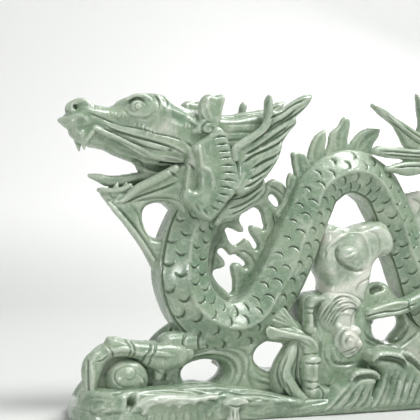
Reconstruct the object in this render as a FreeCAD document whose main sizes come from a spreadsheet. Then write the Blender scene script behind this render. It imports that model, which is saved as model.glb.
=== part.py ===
import FreeCAD, Part
import os
from FreeCAD import Placement, Rotation, Vector

# A dragon over waves, carved from one block of serpentine jade, 250 mm long and about 165 mm high.
# Frame: +X from the dragon's nose to its tail, +Y to the back of the carving, +Z up.
# The origin is the middle of the flat underside. Every element of the carving is a solid of its own,
# and each one is cut to those already standing, so that they meet face to face as the stone does.

SIZES = {
    # the flat-bottomed slab and the water on it
    "slab_height": 8.0,
    "terrace_height": 8.0,
    "plinth_depth": 20.0,
    "shelf_depth": 6.0,
    "spout_depth": 5.0,
    "wave_depth": 13.0,
    "rock_radius": 24.0,
    "curl_radius": 12.0,
    "boss_radius": 20.0,
    "knob_radius": 6.0,
    # the serpent body
    "body_radius": 12.8,
    "tail_radius": 7.5,
    "fin_thickness": 4.0,
    "fretwork_thickness": 6.0,
    # the head
    "head_half_width": 16.0,
    "jaw_radius": 7.0,
    "strut_radius": 6.0,
    "lock_thickness": 6.0,
    "horn_thickness": 6.0,
    "eye_radius": 5.0,
    # the legs
    "arm_radius": 5.5,
    "toe_radius": 3.6,
    "pearl_radius": 9.5,
    "flame_thickness": 6.0,
}

doc = FreeCAD.newDocument("jade_dragon")
sheet = doc.addObject("Spreadsheet::Sheet", "sizes")
for row, (alias, value) in enumerate(SIZES.items(), 1):
    sheet.set(f"A{row}", alias)
    sheet.set(f"B{row}", str(value))
    sheet.setAlias(f"B{row}", alias)
doc.recompute()

SLAB_TOP = SIZES["slab_height"]

ACROSS = Vector(0, 1, 0)
LEAST_OVERLAP = 0.05  # mm3: less than this is two faces that only touch
LEAST_SHARE = 0.02  # a crumb under this share of its element is left off

parts = {}


def stands(label, raw):
    """Keeps an element under its label, cut to the elements that already stand where it would be."""
    doc.recompute()
    box = raw.Shape.BoundBox
    near = [p for p in parts.values() if box.intersect(p.Shape.BoundBox)]
    hit = [p for p in near if raw.Shape.common(p.Shape).Volume > LEAST_OVERLAP]
    element = raw
    if hit:
        tool = hit[0]
        if len(hit) > 1:
            tool = doc.addObject("Part::Compound", f"{label}_neighbours")
            tool.Links = hit
        element = doc.addObject("Part::Cut", f"{label}_fitted")
        element.Base = raw
        element.Tool = tool
        doc.recompute()
    element.Label = label
    parts[label] = element
    return element


# ---------------------------------------------------------------- ways of making a solid


def draw(sketch, corners):
    """Closes an outline through (a, b) corners; a corner with a third value starts an arc of that bulge."""
    ends = corners[1:] + corners[:1]
    for (a, b, *bulge), (c, d, *_) in zip(corners, ends):
        start = Vector(a, b, 0)
        end = Vector(c, d, 0)
        if bulge:
            chord = end - start
            middle = (start + end) / 2 + Vector(chord.y, -chord.x, 0) * bulge[0] / 2
            sketch.addGeometry(Part.Arc(start, middle, end))
        else:
            sketch.addGeometry(Part.LineSegment(start, end))


def pad(label, plane, corners, length, both_ways, place):
    """A PartDesign body: an outline on one of its origin planes, padded by a length from the sheet."""
    body = doc.addObject("PartDesign::Body", f"{label}_body")
    sketch = body.newObject("Sketcher::SketchObject", f"{label}_outline")
    origin_plane = next(f for f in body.Origin.OriginFeatures if f.Role == plane)
    sketch.AttachmentSupport = [(origin_plane, "")]
    sketch.MapMode = "FlatFace"
    draw(sketch, corners)
    doc.recompute()
    feature = body.newObject("PartDesign::Pad", f"{label}_pad")
    feature.Profile = sketch
    feature.setExpression("Length", length)
    feature.SideType = "Symmetric" if both_ways else "One side"
    body.Placement = place
    return body


def bed(label, corners, height, z):
    """A flat layer of the base: an outline in plan, standing on height z."""
    return pad(label, "XY_Plane", corners, height, False, Placement(Vector(0, 0, z), Rotation()))


def slab(label, corners, thickness, y, lean=0.0):
    """A slice of stone upright along X: an (x, z) outline, centred on y, leaning out by some degrees."""
    foot = min(corner[1] for corner in corners)
    turn = Rotation(Vector(1, 0, 0), lean)
    stand = Vector(0, y, foot)
    place = Placement(stand - turn.multVec(Vector(0, 0, foot)), turn)
    return pad(label, "XZ_Plane", corners, thickness, True, place)


def limb(label, radius, route):
    """A round limb lofted along (x, y, z, share) points; share multiplies the sheet's radius."""
    places = [Vector(*point[:3]) for point in route]
    rings = []
    for i, (place, point) in enumerate(zip(places, route)):
        along = places[min(i + 1, len(places) - 1)] - places[max(i - 1, 0)]
        ring = doc.addObject("Part::Circle", f"{label}_ring_{i}")
        ring.setExpression("Radius", f"sizes.{radius} * {point[3]}")
        ring.Placement = Placement(place, Rotation(ACROSS, Vector(), along, "ZXY"))
        rings.append(ring)
    loft = doc.addObject("Part::Loft", f"{label}_loft")
    loft.Sections = rings
    loft.Solid = True
    return loft


def boulder(label, centre, radius, depth_share):
    """A rounded mass, as deep across the carving as a share of its radius."""
    mass = doc.addObject("Part::Ellipsoid", f"{label}_mass")
    mass.setExpression("Radius1", radius)
    mass.setExpression("Radius2", radius)
    mass.setExpression("Radius3", f"{radius} * {depth_share}")
    mass.Placement = Placement(Vector(*centre), Rotation())
    return mass


def ball(label, centre, radius):
    """A round ball."""
    sphere = doc.addObject("Part::Sphere", f"{label}_ball")
    sphere.setExpression("Radius", radius)
    sphere.Placement = Placement(Vector(*centre), Rotation())
    return sphere


def drum(label, x, z, radius, y_front, depth):
    """A short cylinder across the carving."""
    roll = doc.addObject("Part::Cylinder", f"{label}_drum")
    roll.setExpression("Radius", radius)
    roll.Height = depth
    roll.Placement = Placement(Vector(x, y_front + depth, z), Rotation(Vector(1, 0, 0), 90))
    return roll


def group(label, members):
    """Separate solids that share one node."""
    compound = doc.addObject("Part::Compound", f"{label}_group")
    compound.Links = members
    return compound


# ---------------------------------------------------------------- base, water and rock

SLAB_PLAN = [
    (-123, -18, 0.35),
    (-105, -32),
    (-22, -32, -0.2),
    (-10, -36),
    (106, -36, 0.35),
    (125, -18),
    (125, 18, 0.35),
    (106, 36),
    (-105, 36, 0.35),
    (-123, 18),
]
stands("base_slab", bed("base_slab", SLAB_PLAN, "sizes.slab_height", 0))

TERRACE_PLAN = [(-118, -18, 0.3), (-102, -31), (-12, -32), (-2, -20), (-4, -8), (-112, -4, 0.3)]
stands("water_terrace", bed("water_terrace", TERRACE_PLAN, "sizes.terrace_height", SLAB_TOP))

PLINTH = [
    (-82, SLAB_TOP),
    (-81, 28),
    (-66, 31),
    (-64, 18),
    (-47, 17.5),
    (-45, 33),
    (-27, 33),
    (-26, 21),
    (-10, 21),
    (-8, 34),
    (2, 37),
    (8, SLAB_TOP),
]
stands("body_plinth", slab("body_plinth", PLINTH, "sizes.plinth_depth", -6))

SHELF = [(-97, 16), (-97, 10, -0.4), (-84, 9, -0.4), (-73, 8.5, -0.4), (-64, 10.5, -0.4), (-55, 11), (-55, 15)]
stands("water_shelf", slab("water_shelf", SHELF, "sizes.shelf_depth", -33))

SPOUT = [(-52, 0), (-45, 0), (-46, 6), (-41, 8, 0.3), (-41, 11), (-53, 11, 0.3), (-53, 8), (-50, 6)]
stands("spout", slab("spout", SPOUT, "sizes.spout_depth", -33.5))

CORE = [(20, 2, SLAB_TOP, 1.0), (20, 2, 24, 0.95), (24, 1, 40, 0.75), (28, 0, 60, 0.6)]
stands("rock_core", limb("rock_core", "rock_radius", CORE))

RIGHT_ROCK = [(88, 0, SLAB_TOP, 1.25), (89, 0, 17, 1.2), (90, 0, 24, 0.95)]
stands("rock_right", limb("rock_right", "rock_radius", RIGHT_ROCK))

WAVE_SMALL = [(0, SLAB_TOP), (24, SLAB_TOP), (27, 16), (22, 21, 0.4), (12, 16), (3, 12)]
WAVE_BIG = [(24, SLAB_TOP), (78, SLAB_TOP), (70, 19), (56, 25), (37, 32, 0.3), (28, 28), (31, 17)]
WAVE_TAIL = [(78, SLAB_TOP), (122, SLAB_TOP), (122, 16), (108, 30, 0.3), (92, 28), (84, 16)]
stands("wave_front_small", slab("wave_front_small", WAVE_SMALL, "sizes.wave_depth", -26))
stands("wave_front_big", slab("wave_front_big", WAVE_BIG, "sizes.wave_depth", -26))
stands("wave_front_tail", slab("wave_front_tail", WAVE_TAIL, "sizes.wave_depth", -26))

BACK_LEFT = [(-114, SLAB_TOP), (-64, SLAB_TOP), (-66, 26), (-82, 33, 0.35), (-96, 28), (-108, 18)]
BACK_MIDDLE = [(-38, SLAB_TOP), (4, SLAB_TOP), (-4, 13), (-18, 15), (-24, 24, 0.35), (-32, 20)]
BACK_RIGHT = [(6, SLAB_TOP), (64, SLAB_TOP), (60, 20), (44, 30, 0.35), (26, 28), (12, 18)]
BACK_TAIL = [(66, SLAB_TOP), (118, SLAB_TOP), (114, 20), (100, 30, 0.35), (84, 26), (72, 16)]
stands("wave_back_left", slab("wave_back_left", BACK_LEFT, "sizes.wave_depth", 24))
stands("wave_back_middle", slab("wave_back_middle", BACK_MIDDLE, "sizes.wave_depth", 23))
stands("wave_back_right", slab("wave_back_right", BACK_RIGHT, "sizes.wave_depth", 26))
stands("wave_back_tail", slab("wave_back_tail", BACK_TAIL, "sizes.wave_depth", 26))

UPPER_CURL = drum("upper_curl", 17, 47, "sizes.curl_radius", -22, 18)
LOWER_CURL = drum("lower_curl", 18, 31, "sizes.curl_radius * 0.8", -29, 18)
stands("wave_curls", group("wave_curls", [UPPER_CURL, LOWER_CURL]))

stands("cloud_boss", boulder("cloud_boss", (29, -2, 77), "sizes.boss_radius", 0.6))
stands("cloud_knob", boulder("cloud_knob", (25, -13, 77), "sizes.knob_radius", 0.85))

# ---------------------------------------------------------------- serpent body, nose end first

NECK = [(-55, -2, 101, 0.96), (-61, -3, 90, 1.0), (-65, -4, 76, 1.04), (-64, -5, 62, 1.06)]
CHEST = [(-64, -5, 62, 1.06), (-56, -6, 49, 1.06), (-42, -6, 43, 1.04), (-27, -5, 48, 1.04), (-16, -4, 62, 1.02)]
RISING = [(-16, -4, 62, 1.02), (-6, -3, 80, 1.0), (2.5, -1, 98, 0.98)]
HUMP = [(2.5, -1, 98, 0.98), (11, 0, 113, 0.96), (26, 0, 121, 0.94), (43, 1, 115, 0.94), (54, 2, 98, 0.92)]
FALLING = [(54, 2, 98, 0.92), (63, 4, 79, 0.92), (70, 4, 60, 0.9), (77, 5, 45, 0.88)]
REAR = [(77, 5, 45, 0.88), (88, 5, 36, 0.86), (101, 5, 39, 0.8), (109, 5, 51, 0.74)]
TAIL = [(109, 5, 51, 1.26), (112, 4, 75, 1.1), (107, 2, 100, 0.95), (96, 0, 120, 0.85)]
TAIL_END = [(96, 0, 120, 0.85), (87, -1, 130, 0.75), (76, -2, 134, 0.6), (64, -3, 134, 0.35)]
stands("neck", limb("neck", "body_radius", NECK))
stands("chest_bend", limb("chest_bend", "body_radius", CHEST))
stands("rising_body", limb("rising_body", "body_radius", RISING))
stands("hump", limb("hump", "body_radius", HUMP))
stands("falling_body", limb("falling_body", "body_radius", FALLING))
stands("rear_bend", limb("rear_bend", "body_radius", REAR))
stands("tail", limb("tail", "tail_radius", TAIL))
stands("tail_end", limb("tail_end", "tail_radius", TAIL_END))

# ---------------------------------------------------------------- head

HEAD = [
    (-125, 0, 144.5, 0.25),
    (-119, 0, 144, 0.54),
    (-108, 0, 142, 0.58),
    (-97, 0, 141.5, 0.7),
    (-87, 0, 140.5, 0.92),
    (-77, 0, 138, 1.1),
    (-66, 0, 132, 1.15),
    (-58, 0, 121, 1.05),
    (-55, -1, 110, 0.9),
    (-55, -2, 101, 0.77),
]
stands("skull", limb("skull", "head_half_width", HEAD))

eyes = [ball(f"eye_{side}", (-88.5, y, 148.5), "sizes.eye_radius") for side, y in (("near", -11), ("far", 11))]
stands("eyes", group("eyes", eyes))

JAW = [(-104, 0, 106, 0.7), (-96, 0, 107, 1.0), (-84, 0, 109, 1.25), (-72, 0, 112, 1.5)]
stands("lower_jaw", limb("lower_jaw", "jaw_radius", JAW))

TONGUE = [(-110, 0, 117, 0.2), (-102, 0, 116, 0.5), (-90, 0, 116, 0.65), (-76, 0, 118, 0.7)]
stands("tongue", limb("tongue", "jaw_radius", TONGUE))

BEARD = [(-103, -1, 105, 0.5), (-98, -1, 99, 0.75), (-89, -2, 88, 0.85), (-80, -3, 77, 0.8), (-75, -4, 64, 0.6)]
stands("chin_beard", limb("chin_beard", "strut_radius", BEARD))

RUFF = [
    (-52, 144),
    (-44, 140),
    (-41, 122),
    (-39.5, 112),
    (-46, 101),
    (-53.5, 94.5),
    (-66, 103),
    (-68, 113),
    (-63.5, 124),
    (-61, 135),
]
WING = [
    (-42, 109),
    (-41, 124),
    (-43, 129),
    (-31, 140),
    (-27, 147),
    (-24.5, 157.5),
    (-21.5, 154.5),
    (-22, 148.5),
    (1, 158.5),
    (-8, 146),
    (-9, 142),
    (-16.5, 129),
    (-25, 115),
    (-38, 107),
]
LOCK = [(-50, 92), (-38, 99), (-23.5, 113), (-29, 112.5), (-43, 104), (-50, 98)]
HORN = [(-60, 149), (-56, 156), (-46, 156), (-48.5, 145), (-51, 138), (-59, 139)]
for side, sign in (("near", -1), ("far", 1)):
    stands(f"ruff_{side}", slab(f"ruff_{side}", RUFF, "sizes.lock_thickness", sign * 15))
    stands(f"wing_lock_{side}", slab(f"wing_lock_{side}", WING, "sizes.lock_thickness", sign * 17))
    stands(f"lower_lock_{side}", slab(f"lower_lock_{side}", LOCK, "sizes.lock_thickness", sign * 12))
    stands(f"horn_{side}", slab(f"horn_{side}", HORN, "sizes.horn_thickness", sign * 15))

CROWN = [(-50, 120), (-26, 128), (-20, 140), (-18, 149), (-33, 148.5), (-46, 148)]
stands("crown_mane", slab("crown_mane", CROWN, "sizes.lock_thickness * 4", 0))

# ---------------------------------------------------------------- legs, paws and pearl

stands("pearl", ball("pearl", (-98, -17, 24), "sizes.pearl_radius"))

ARM = [(-44, -8, 36, 1.0), (-56, -10, 37, 1.05), (-64, -12, 37, 1.1), (-73, -14, 37, 1.15)]
NEAR_TOE = [
    (-73, -14, 37, 1.5),
    (-86, -17, 36, 1.25),
    (-97, -18, 38.5, 1.2),
    (-106, -18, 37, 1.15),
    (-110.5, -18, 28, 1.0),
    (-111, -18, 17, 0.8),
]
FAR_TOE = [
    (-74, -10, 35, 1.2),
    (-88, -9, 37, 1.15),
    (-101, -8, 38, 1.15),
    (-109, -8, 34, 1.0),
    (-113, -9, 26, 0.95),
    (-113, -9, 16, 0.8),
]
THUMB = [(-72, -17, 31, 1.0), (-79, -20, 28, 1.0), (-84, -21, 22, 0.9), (-85, -21, 16, 0.7)]
stands("foreleg_front", limb("foreleg_front", "arm_radius", ARM))
stands("paw_front_near_toe", limb("paw_front_near_toe", "toe_radius", NEAR_TOE))
stands("paw_front_far_toe", limb("paw_front_far_toe", "toe_radius", FAR_TOE))
stands("paw_front_thumb", limb("paw_front_thumb", "toe_radius", THUMB))

SHIN = [(-15, -15, 43, 1.1), (-7, -20, 41, 1.0), (-2.5, -23, 34, 0.85), (-4, -25, 26, 0.75)]
TOE = [(-4, -25, 26, 1.15), (-6, -27, 18, 1.2), (-3.5, -28, 12, 1.35), (2, -28, 11, 1.2)]
SIDE_TOE = [(-12, -20, 34, 0.8), (-16, -25, 26, 0.9), (-16.5, -26, 17, 0.9), (-11, -29, 10, 0.8)]
stands("foreleg_side", limb("foreleg_side", "arm_radius", SHIN))
stands("paw_side_toe", limb("paw_side_toe", "toe_radius", TOE))
stands("paw_side_claw", limb("paw_side_claw", "toe_radius", SIDE_TOE))

GRIP = [(3, -11, 62, 0.7), (3, -18, 56, 0.85), (2, -20, 48, 0.8), (1.5, -20, 40, 0.6)]
stands("wave_grip_claw", limb("wave_grip_claw", "toe_radius", GRIP))

HIND_NEAR = [(72, -7, 56, 1.0), (60, -9, 50, 0.9), (46, -10, 46, 0.8), (33, -11, 44, 0.75)]
stands("hind_leg_near", limb("hind_leg_near", "arm_radius", HIND_NEAR))

FORE_FAR = [(-38, 7, 44, 1.1), (-45, 19, 44, 1.0), (-58, 24, 39, 0.9), (-68, 25, 32, 0.8), (-73, 25, 24, 0.7)]
HIND_FAR = [(88, 12, 40, 1.1), (95, 20, 41, 1.0), (102, 25, 35, 0.85), (103, 26, 24, 0.7)]
stands("foreleg_far", limb("foreleg_far", "arm_radius", FORE_FAR))
stands("hind_leg_far", limb("hind_leg_far", "arm_radius", HIND_FAR))

# ---------------------------------------------------------------- fins, tail flames and neck fretwork


def fin(name, x, z, width, height, sweep):
    """One back fin: foot at (x, z) on the spine, swept towards the tail by some millimetres."""
    outline = [
        (x - width / 2, z - 4),
        (x + width / 2, z - 4),
        (x + width / 2, z + height * 0.3, -0.25),
        (x + width / 2 + sweep, z + height),
        (x + sweep * 0.4, z + height * 0.95, 0.3),
        (x - width / 2, z + height * 0.3),
    ]
    return slab(name, outline, "sizes.fin_thickness", 0)


RISING_FINS = [(-11, 104, 8, 12, 0), (-5, 116, 9, 14, 0)]
HUMP_FINS = [(8, 128, 10, 15, 3), (22, 134, 11, 16, 2), (37, 131, 12, 14, 5)]
stands("fins_rising", group("fins_rising", [fin(f"fin_r{i}", *f) for i, f in enumerate(RISING_FINS)]))
stands("fins_hump", group("fins_hump", [fin(f"fin_h{i}", *f) for i, f in enumerate(HUMP_FINS)]))

TAIL_FINS = [(118, 62), (119.5, 78), (117, 94), (111, 109)]
tail_fins = []
for i, (x, z) in enumerate(TAIL_FINS):
    tip = [(x - 5, z - 5), (x - 1, z - 5), (x + 4, z + 7), (x - 1, z + 4), (x - 6, z + 6)]
    tail_fins.append(slab(f"fin_t{i}", tip, "sizes.fin_thickness", 3 - i))
stands("fins_tail", group("fins_tail", tail_fins))

FLAME_NEAR = [(39.5, 156), (55, 137), (60, 133), (76, 131), (74, 140), (60, 148)]
FLAME_MIDDLE = [(38.5, 131), (50, 128.5), (72, 127), (74, 132), (56, 134), (46, 134)]
FLAME_LOW = [(45, 122.5), (58, 118), (76, 121), (74, 127), (58, 126)]
FLAME_TALL = [(70.5, 165), (71, 150), (70, 138), (84, 132), (84, 142), (79, 154)]
low_flames = [slab(f"flame_{i}", f, "sizes.flame_thickness", -8.5) for i, f in enumerate((FLAME_MIDDLE, FLAME_LOW))]
stands("tail_flame_near", slab("tail_flame_near", FLAME_NEAR, "sizes.flame_thickness", -5))
stands("tail_flames_low", group("tail_flames_low", low_flames))
stands("tail_flame_tall", slab("tail_flame_tall", FLAME_TALL, "sizes.flame_thickness", 3))

TAIL_CLOUD = [
    (57, 109, 0.1),
    (73, 112, -0.3),
    (88, 109, 0.3),
    (101, 104),
    (106, 92),
    (105, 76),
    (97, 70, 0.3),
    (92, 80, -0.3),
    (92, 92, -0.5),
    (76, 88),
    (62, 84),
]
stands("tail_cloud", slab("tail_cloud", TAIL_CLOUD, "sizes.fretwork_thickness", 3))

FRET_LOW = [(-52, 52), (-24, 52), (-20, 66), (-28, 72), (-26, 80), (-34, 84), (-33, 70), (-46, 66), (-52, 76)]
FRET_HIGH = [(-16, 78), (-6, 100), (-6, 114), (-18, 114), (-22, 106), (-16, 102), (-18, 90), (-27, 90), (-26, 84)]
stands("neck_fretwork_low", slab("neck_fretwork_low", FRET_LOW, "sizes.fretwork_thickness", 3))
stands("neck_fretwork_high", slab("neck_fretwork_high", FRET_HIGH, "sizes.fretwork_thickness", 4))

# ---------------------------------------------------------------- checks and export

doc.recompute()
for thing in doc.Objects:
    if {"Invalid", "Error"} & set(thing.State):
        raise SystemExit(f"{thing.Label} failed: {thing.State}")

os.makedirs("parts", exist_ok=True)
for old in os.listdir("parts"):
    os.remove(os.path.join("parts", old))
for label, part in parts.items():
    solids = part.Shape.Solids
    largest = max(solid.Volume for solid in solids)
    kept = [solid for solid in solids if solid.Volume > LEAST_SHARE * largest]
    shape = kept[0] if len(kept) == 1 else Part.makeCompound(kept)
    if shape.isNull() or not shape.isValid():
        raise SystemExit(f"{label} is not a valid solid")
    shape.exportStep(f"parts/{label}.step")
    print(label, len(solids), len(kept), round(shape.Volume))
whole = Part.makeCompound([part.Shape for part in parts.values()]).BoundBox
print("extent", whole)
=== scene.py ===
import math

import bpy
import numpy as np
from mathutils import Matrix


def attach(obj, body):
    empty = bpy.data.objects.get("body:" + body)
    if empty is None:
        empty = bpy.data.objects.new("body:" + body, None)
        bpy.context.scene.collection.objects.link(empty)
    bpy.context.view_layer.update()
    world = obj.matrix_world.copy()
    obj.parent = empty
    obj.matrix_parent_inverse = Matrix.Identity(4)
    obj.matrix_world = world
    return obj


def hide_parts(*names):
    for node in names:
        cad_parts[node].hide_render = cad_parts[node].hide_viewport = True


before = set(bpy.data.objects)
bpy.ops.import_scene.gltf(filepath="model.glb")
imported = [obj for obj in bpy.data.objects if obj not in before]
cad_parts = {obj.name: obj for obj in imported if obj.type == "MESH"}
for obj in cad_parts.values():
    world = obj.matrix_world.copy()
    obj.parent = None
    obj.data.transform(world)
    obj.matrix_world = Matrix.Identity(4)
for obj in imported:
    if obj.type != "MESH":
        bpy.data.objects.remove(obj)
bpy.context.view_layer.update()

# A dragon over waves, cut from one block of serpentine jade. Everything is modelled in millimetres in the
# frame of the CAD part and brought to metres when a piece is settled.

# ---------------------------------------------------------------- base slab
# The flat-bottomed slab that the whole carving is left standing on. The stone is sawn flat underneath,
# ground round at its edge and cut with running water lines along its sides.


def smooth_line(points, closed=False, size=2, step=0.6):
    """A smooth run through points of `size` values; one value more on a point makes it a corner."""
    knots = np.array([point[:size] for point in points], float)
    corner = [len(point) > size for point in points]
    ways = np.roll(knots, -1, axis=0) - knots
    spans = np.linalg.norm(ways, axis=1) + 1e-9
    ways = ways / spans[:, None]
    turns = ways + np.roll(ways, 1, axis=0)
    if not closed:
        turns[0] = ways[0]
        turns[-1] = ways[-2]
    turns = turns / (np.linalg.norm(turns, axis=1)[:, None] + 1e-9)
    run = []
    for i in range(len(knots) - (not closed)):
        j = (i + 1) % len(knots)
        leave = (ways if corner[i] else turns)[i]
        arrive = ways[i] if corner[j] else turns[j]
        t = np.linspace(0, 1, max(2, round(spans[i] / step)), endpoint=False)[:, None]
        near = (2 * t**3 - 3 * t**2 + 1) * knots[i] + (t**3 - 2 * t**2 + t) * spans[i] * leave
        run.append(near + (3 * t**2 - 2 * t**3) * knots[j] + (t**3 - t**2) * spans[i] * arrive)
    if not closed:
        run.append(knots[-1:])
    return np.concatenate(run)


def vertices_of(piece):
    """The vertices of a piece as rows of x, y, z."""
    flat = np.empty(len(piece.data.vertices) * 3, np.float32)
    piece.data.vertices.foreach_get("co", flat)
    return flat.reshape(-1, 3).astype(float)


def move_to(piece, places):
    """Puts every vertex of a piece at its row of x, y, z."""
    piece.data.vertices.foreach_set("co", places.astype(np.float32).ravel())
    piece.data.update()


def alone(piece):
    """Makes a piece the only selected one."""
    bpy.ops.object.select_all(action="DESELECT")
    piece.select_set(True)
    bpy.context.view_layer.objects.active = piece


def shaped_by(piece, kind, **settings):
    """Applies one modifier to a piece."""
    alone(piece)
    modifier = piece.modifiers.new(kind, kind)
    for name, value in settings.items():
        setattr(modifier, name, value)
    bpy.ops.object.modifier_apply(modifier=modifier.name)


def slice_of(outline, middle, half, edge, holes=(), lying=False):
    """A mass with a drawn outline, swollen by `half` to both sides of its middle and rounded over `edge`.

    It stands along the carving, drawn in (x, z), or is a layer lying flat, drawn in (x, y).
    """
    loops = [smooth_line(loop, closed=True) for loop in (outline, *holes)]
    curve = bpy.data.curves.new("slice", "CURVE")
    curve.dimensions = "2D"
    curve.fill_mode = "BOTH"
    curve.extrude = 0.6
    for loop in loops:
        spline = curve.splines.new("POLY")
        spline.points.add(len(loop) - 1)
        spline.points.foreach_set("co", np.pad(loop, ((0, 0), (0, 2))).astype(np.float32).ravel())
        spline.use_cyclic_u = True
    mass = bpy.data.objects.new("slice", curve)
    bpy.context.collection.objects.link(mass)
    alone(mass)
    bpy.ops.object.convert(target="MESH")
    mass = bpy.context.object
    shaped_by(mass, "REMESH", mode="VOXEL", voxel_size=0.8)
    a, b, c = vertices_of(mass).T
    rim = np.full(len(a), 1e9)
    for loop in loops:
        for start in range(0, len(a), 4000):
            some = slice(start, start + 4000)
            gap = np.hypot(a[some, None] - loop[None, :, 0], b[some, None] - loop[None, :, 1]).min(axis=1)
            rim[some] = np.minimum(rim[some], gap)
    swell = half(a, b) if callable(half) else half
    roll = edge(a, b) if callable(edge) else edge
    swell = swell * np.sqrt(1 - (1 - np.clip(rim / roll, 0, 1)) ** 2)
    out = np.clip(c / 0.5, -1, 1) * swell
    if lying:
        move_to(mass, np.stack([a, b, middle + out], axis=1))
    else:
        move_to(mass, np.stack([a, middle - out, b], axis=1))
    return mass


def weld(name, masses, grain=0.5, polish=4):
    """Joins masses into one closed skin and rubs it smooth."""
    alone(masses[0])
    for mass in masses:
        mass.select_set(True)
    bpy.ops.object.join()
    piece = bpy.context.object
    piece.name = name
    shaped_by(piece, "REMESH", mode="VOXEL", voxel_size=grain)
    shaped_by(piece, "SMOOTH", factor=0.5, iterations=polish)
    return piece


def carve(
    piece, strokes, width=0.6, depth=0.5, taper=3.0, seen=(0, 2), side=0, within=(-999, 999), wax_and_shade=0.8
):
    """Cuts smooth lines into a piece, or raises them when the depth is negative.

    The lines are drawn in the two coordinates `seen`, and cut only where the skin faces along the third one:
    to the `side` asked for, within a range of that third coordinate. The last argument is how dark the cut
    is painted, partly for wax and dust in it and partly as painted shade in the groove.
    """
    places = vertices_of(piece)
    flat = np.empty(len(places) * 3, np.float32)
    piece.data.vertices.foreach_get("normal", flat)
    normals = flat.reshape(-1, 3).astype(float)
    third = 3 - seen[0] - seen[1]
    facing = normals[:, third] * side if side else np.abs(normals[:, third])
    facing = np.clip((facing - 0.12) / 0.35, 0, 1)
    facing[(places[:, third] < within[0]) | (places[:, third] > within[1])] = 0
    deepest = np.zeros(len(places))
    for stroke in strokes:
        line = smooth_line(stroke, step=0.4)
        low = line.min(axis=0) - width
        high = line.max(axis=0) + width
        drawn = places[:, list(seen)]
        near = np.flatnonzero(((drawn > low) & (drawn < high)).all(axis=1) & (facing > 0))
        if not len(near):
            continue
        along = np.concatenate([[0], np.cumsum(np.linalg.norm(np.diff(line, axis=0), axis=1))])
        fade = np.clip(np.minimum(along, along[-1] - along) / taper + 0.25, 0, 1)
        for start in range(0, len(near), 4000):
            some = near[start : start + 4000]
            gap = np.hypot(*(drawn[some, None, :] - line[None, :, :]).transpose(2, 0, 1))
            nearest = gap.argmin(axis=1)
            reach = width * (0.5 + 0.5 * fade[nearest])
            bite = np.clip(1 - (gap[np.arange(len(some)), nearest] / reach) ** 2, 0, 1) ** 1.3
            deepest[some] = np.maximum(deepest[some], bite * fade[nearest] * facing[some])
    move_to(piece, places - normals * (deepest * depth)[:, None])
    # cuts are painted darker, partly for wax and dust and partly as painted shade in the groove
    if depth > 0:
        darken(piece, deepest * wax_and_shade)


def darken(piece, amount):
    """Remembers on the vertices how far the dust and shade of a cut lies there, from 0 to 1."""
    marks = piece.data.attributes.get("cut") or piece.data.attributes.new("cut", "FLOAT", "POINT")
    old = np.zeros(len(piece.data.vertices), np.float32)
    marks.data.foreach_get("value", old)
    marks.data.foreach_set("value", np.maximum(old, amount.astype(np.float32)))


def settle(piece, node, stone):
    """Reads how the skin bends, for a painted highlight on its ridges and painted shade in its hollows,
    brings a finished piece to metres and puts it in place of its CAD node.
    """
    mesh = piece.data
    if not mesh.attributes.get("cut"):
        darken(piece, np.zeros(len(mesh.vertices)))
    places = vertices_of(piece)
    flat = np.empty(len(places) * 3, np.float32)
    mesh.vertices.foreach_get("normal", flat)
    normals = flat.reshape(-1, 3).astype(float)
    pairs = np.empty(len(mesh.edges) * 2, np.int32)
    mesh.edges.foreach_get("vertices", pairs)
    pairs = np.concatenate([pairs.reshape(-1, 2), pairs.reshape(-1, 2)[:, ::-1]])
    count = np.maximum(np.bincount(pairs[:, 0], minlength=len(places)), 1)
    level = np.zeros((len(places), 3))
    for axis in range(3):
        level[:, axis] = np.bincount(pairs[:, 0], places[pairs[:, 1], axis], len(places)) / count
    length = np.linalg.norm(places[pairs[:, 0]] - places[pairs[:, 1]], axis=1).mean()
    bend = ((level - places) * normals).sum(axis=1) / length**2
    for _ in range(10):
        bend = (bend + np.bincount(pairs[:, 0], bend[pairs[:, 1]], len(places)) / count) / 2
    # this mark paints ridges pale as painted highlight and hollows darker as painted shade
    painted_light_marks = mesh.attributes.new("bend", "FLOAT", "POINT")
    painted_light_marks.data.foreach_set("value", np.clip(bend, -2, 2).astype(np.float32))
    move_to(piece, places / 1000)
    alone(piece)
    bpy.ops.object.shade_smooth()
    mesh.materials.clear()
    mesh.materials.append(stone)
    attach(piece, "root")
    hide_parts(node)


def srgb(code):
    """A hex colour as linear red, green, blue and full alpha."""
    parts = [int(code[i : i + 2], 16) / 255 for i in (1, 3, 5)]
    return [c / 12.92 if c <= 0.04045 else ((c + 0.055) / 1.055) ** 2.4 for c in parts] + [1.0]


def add(tree, kind, settings=(), **inputs):
    """Adds a shader node; an input may be a value or another node's output."""
    node = tree.nodes.new(kind)
    for name, value in dict(settings).items():
        setattr(node, name, value)
    for name, value in inputs.items():
        socket = node.inputs[int(name[1:])] if name[0] == "_" else node.inputs[name.replace("_", " ")]
        if isinstance(value, bpy.types.NodeSocket):
            tree.links.new(value, socket)
        else:
            socket.default_value = value
    return node


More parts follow.
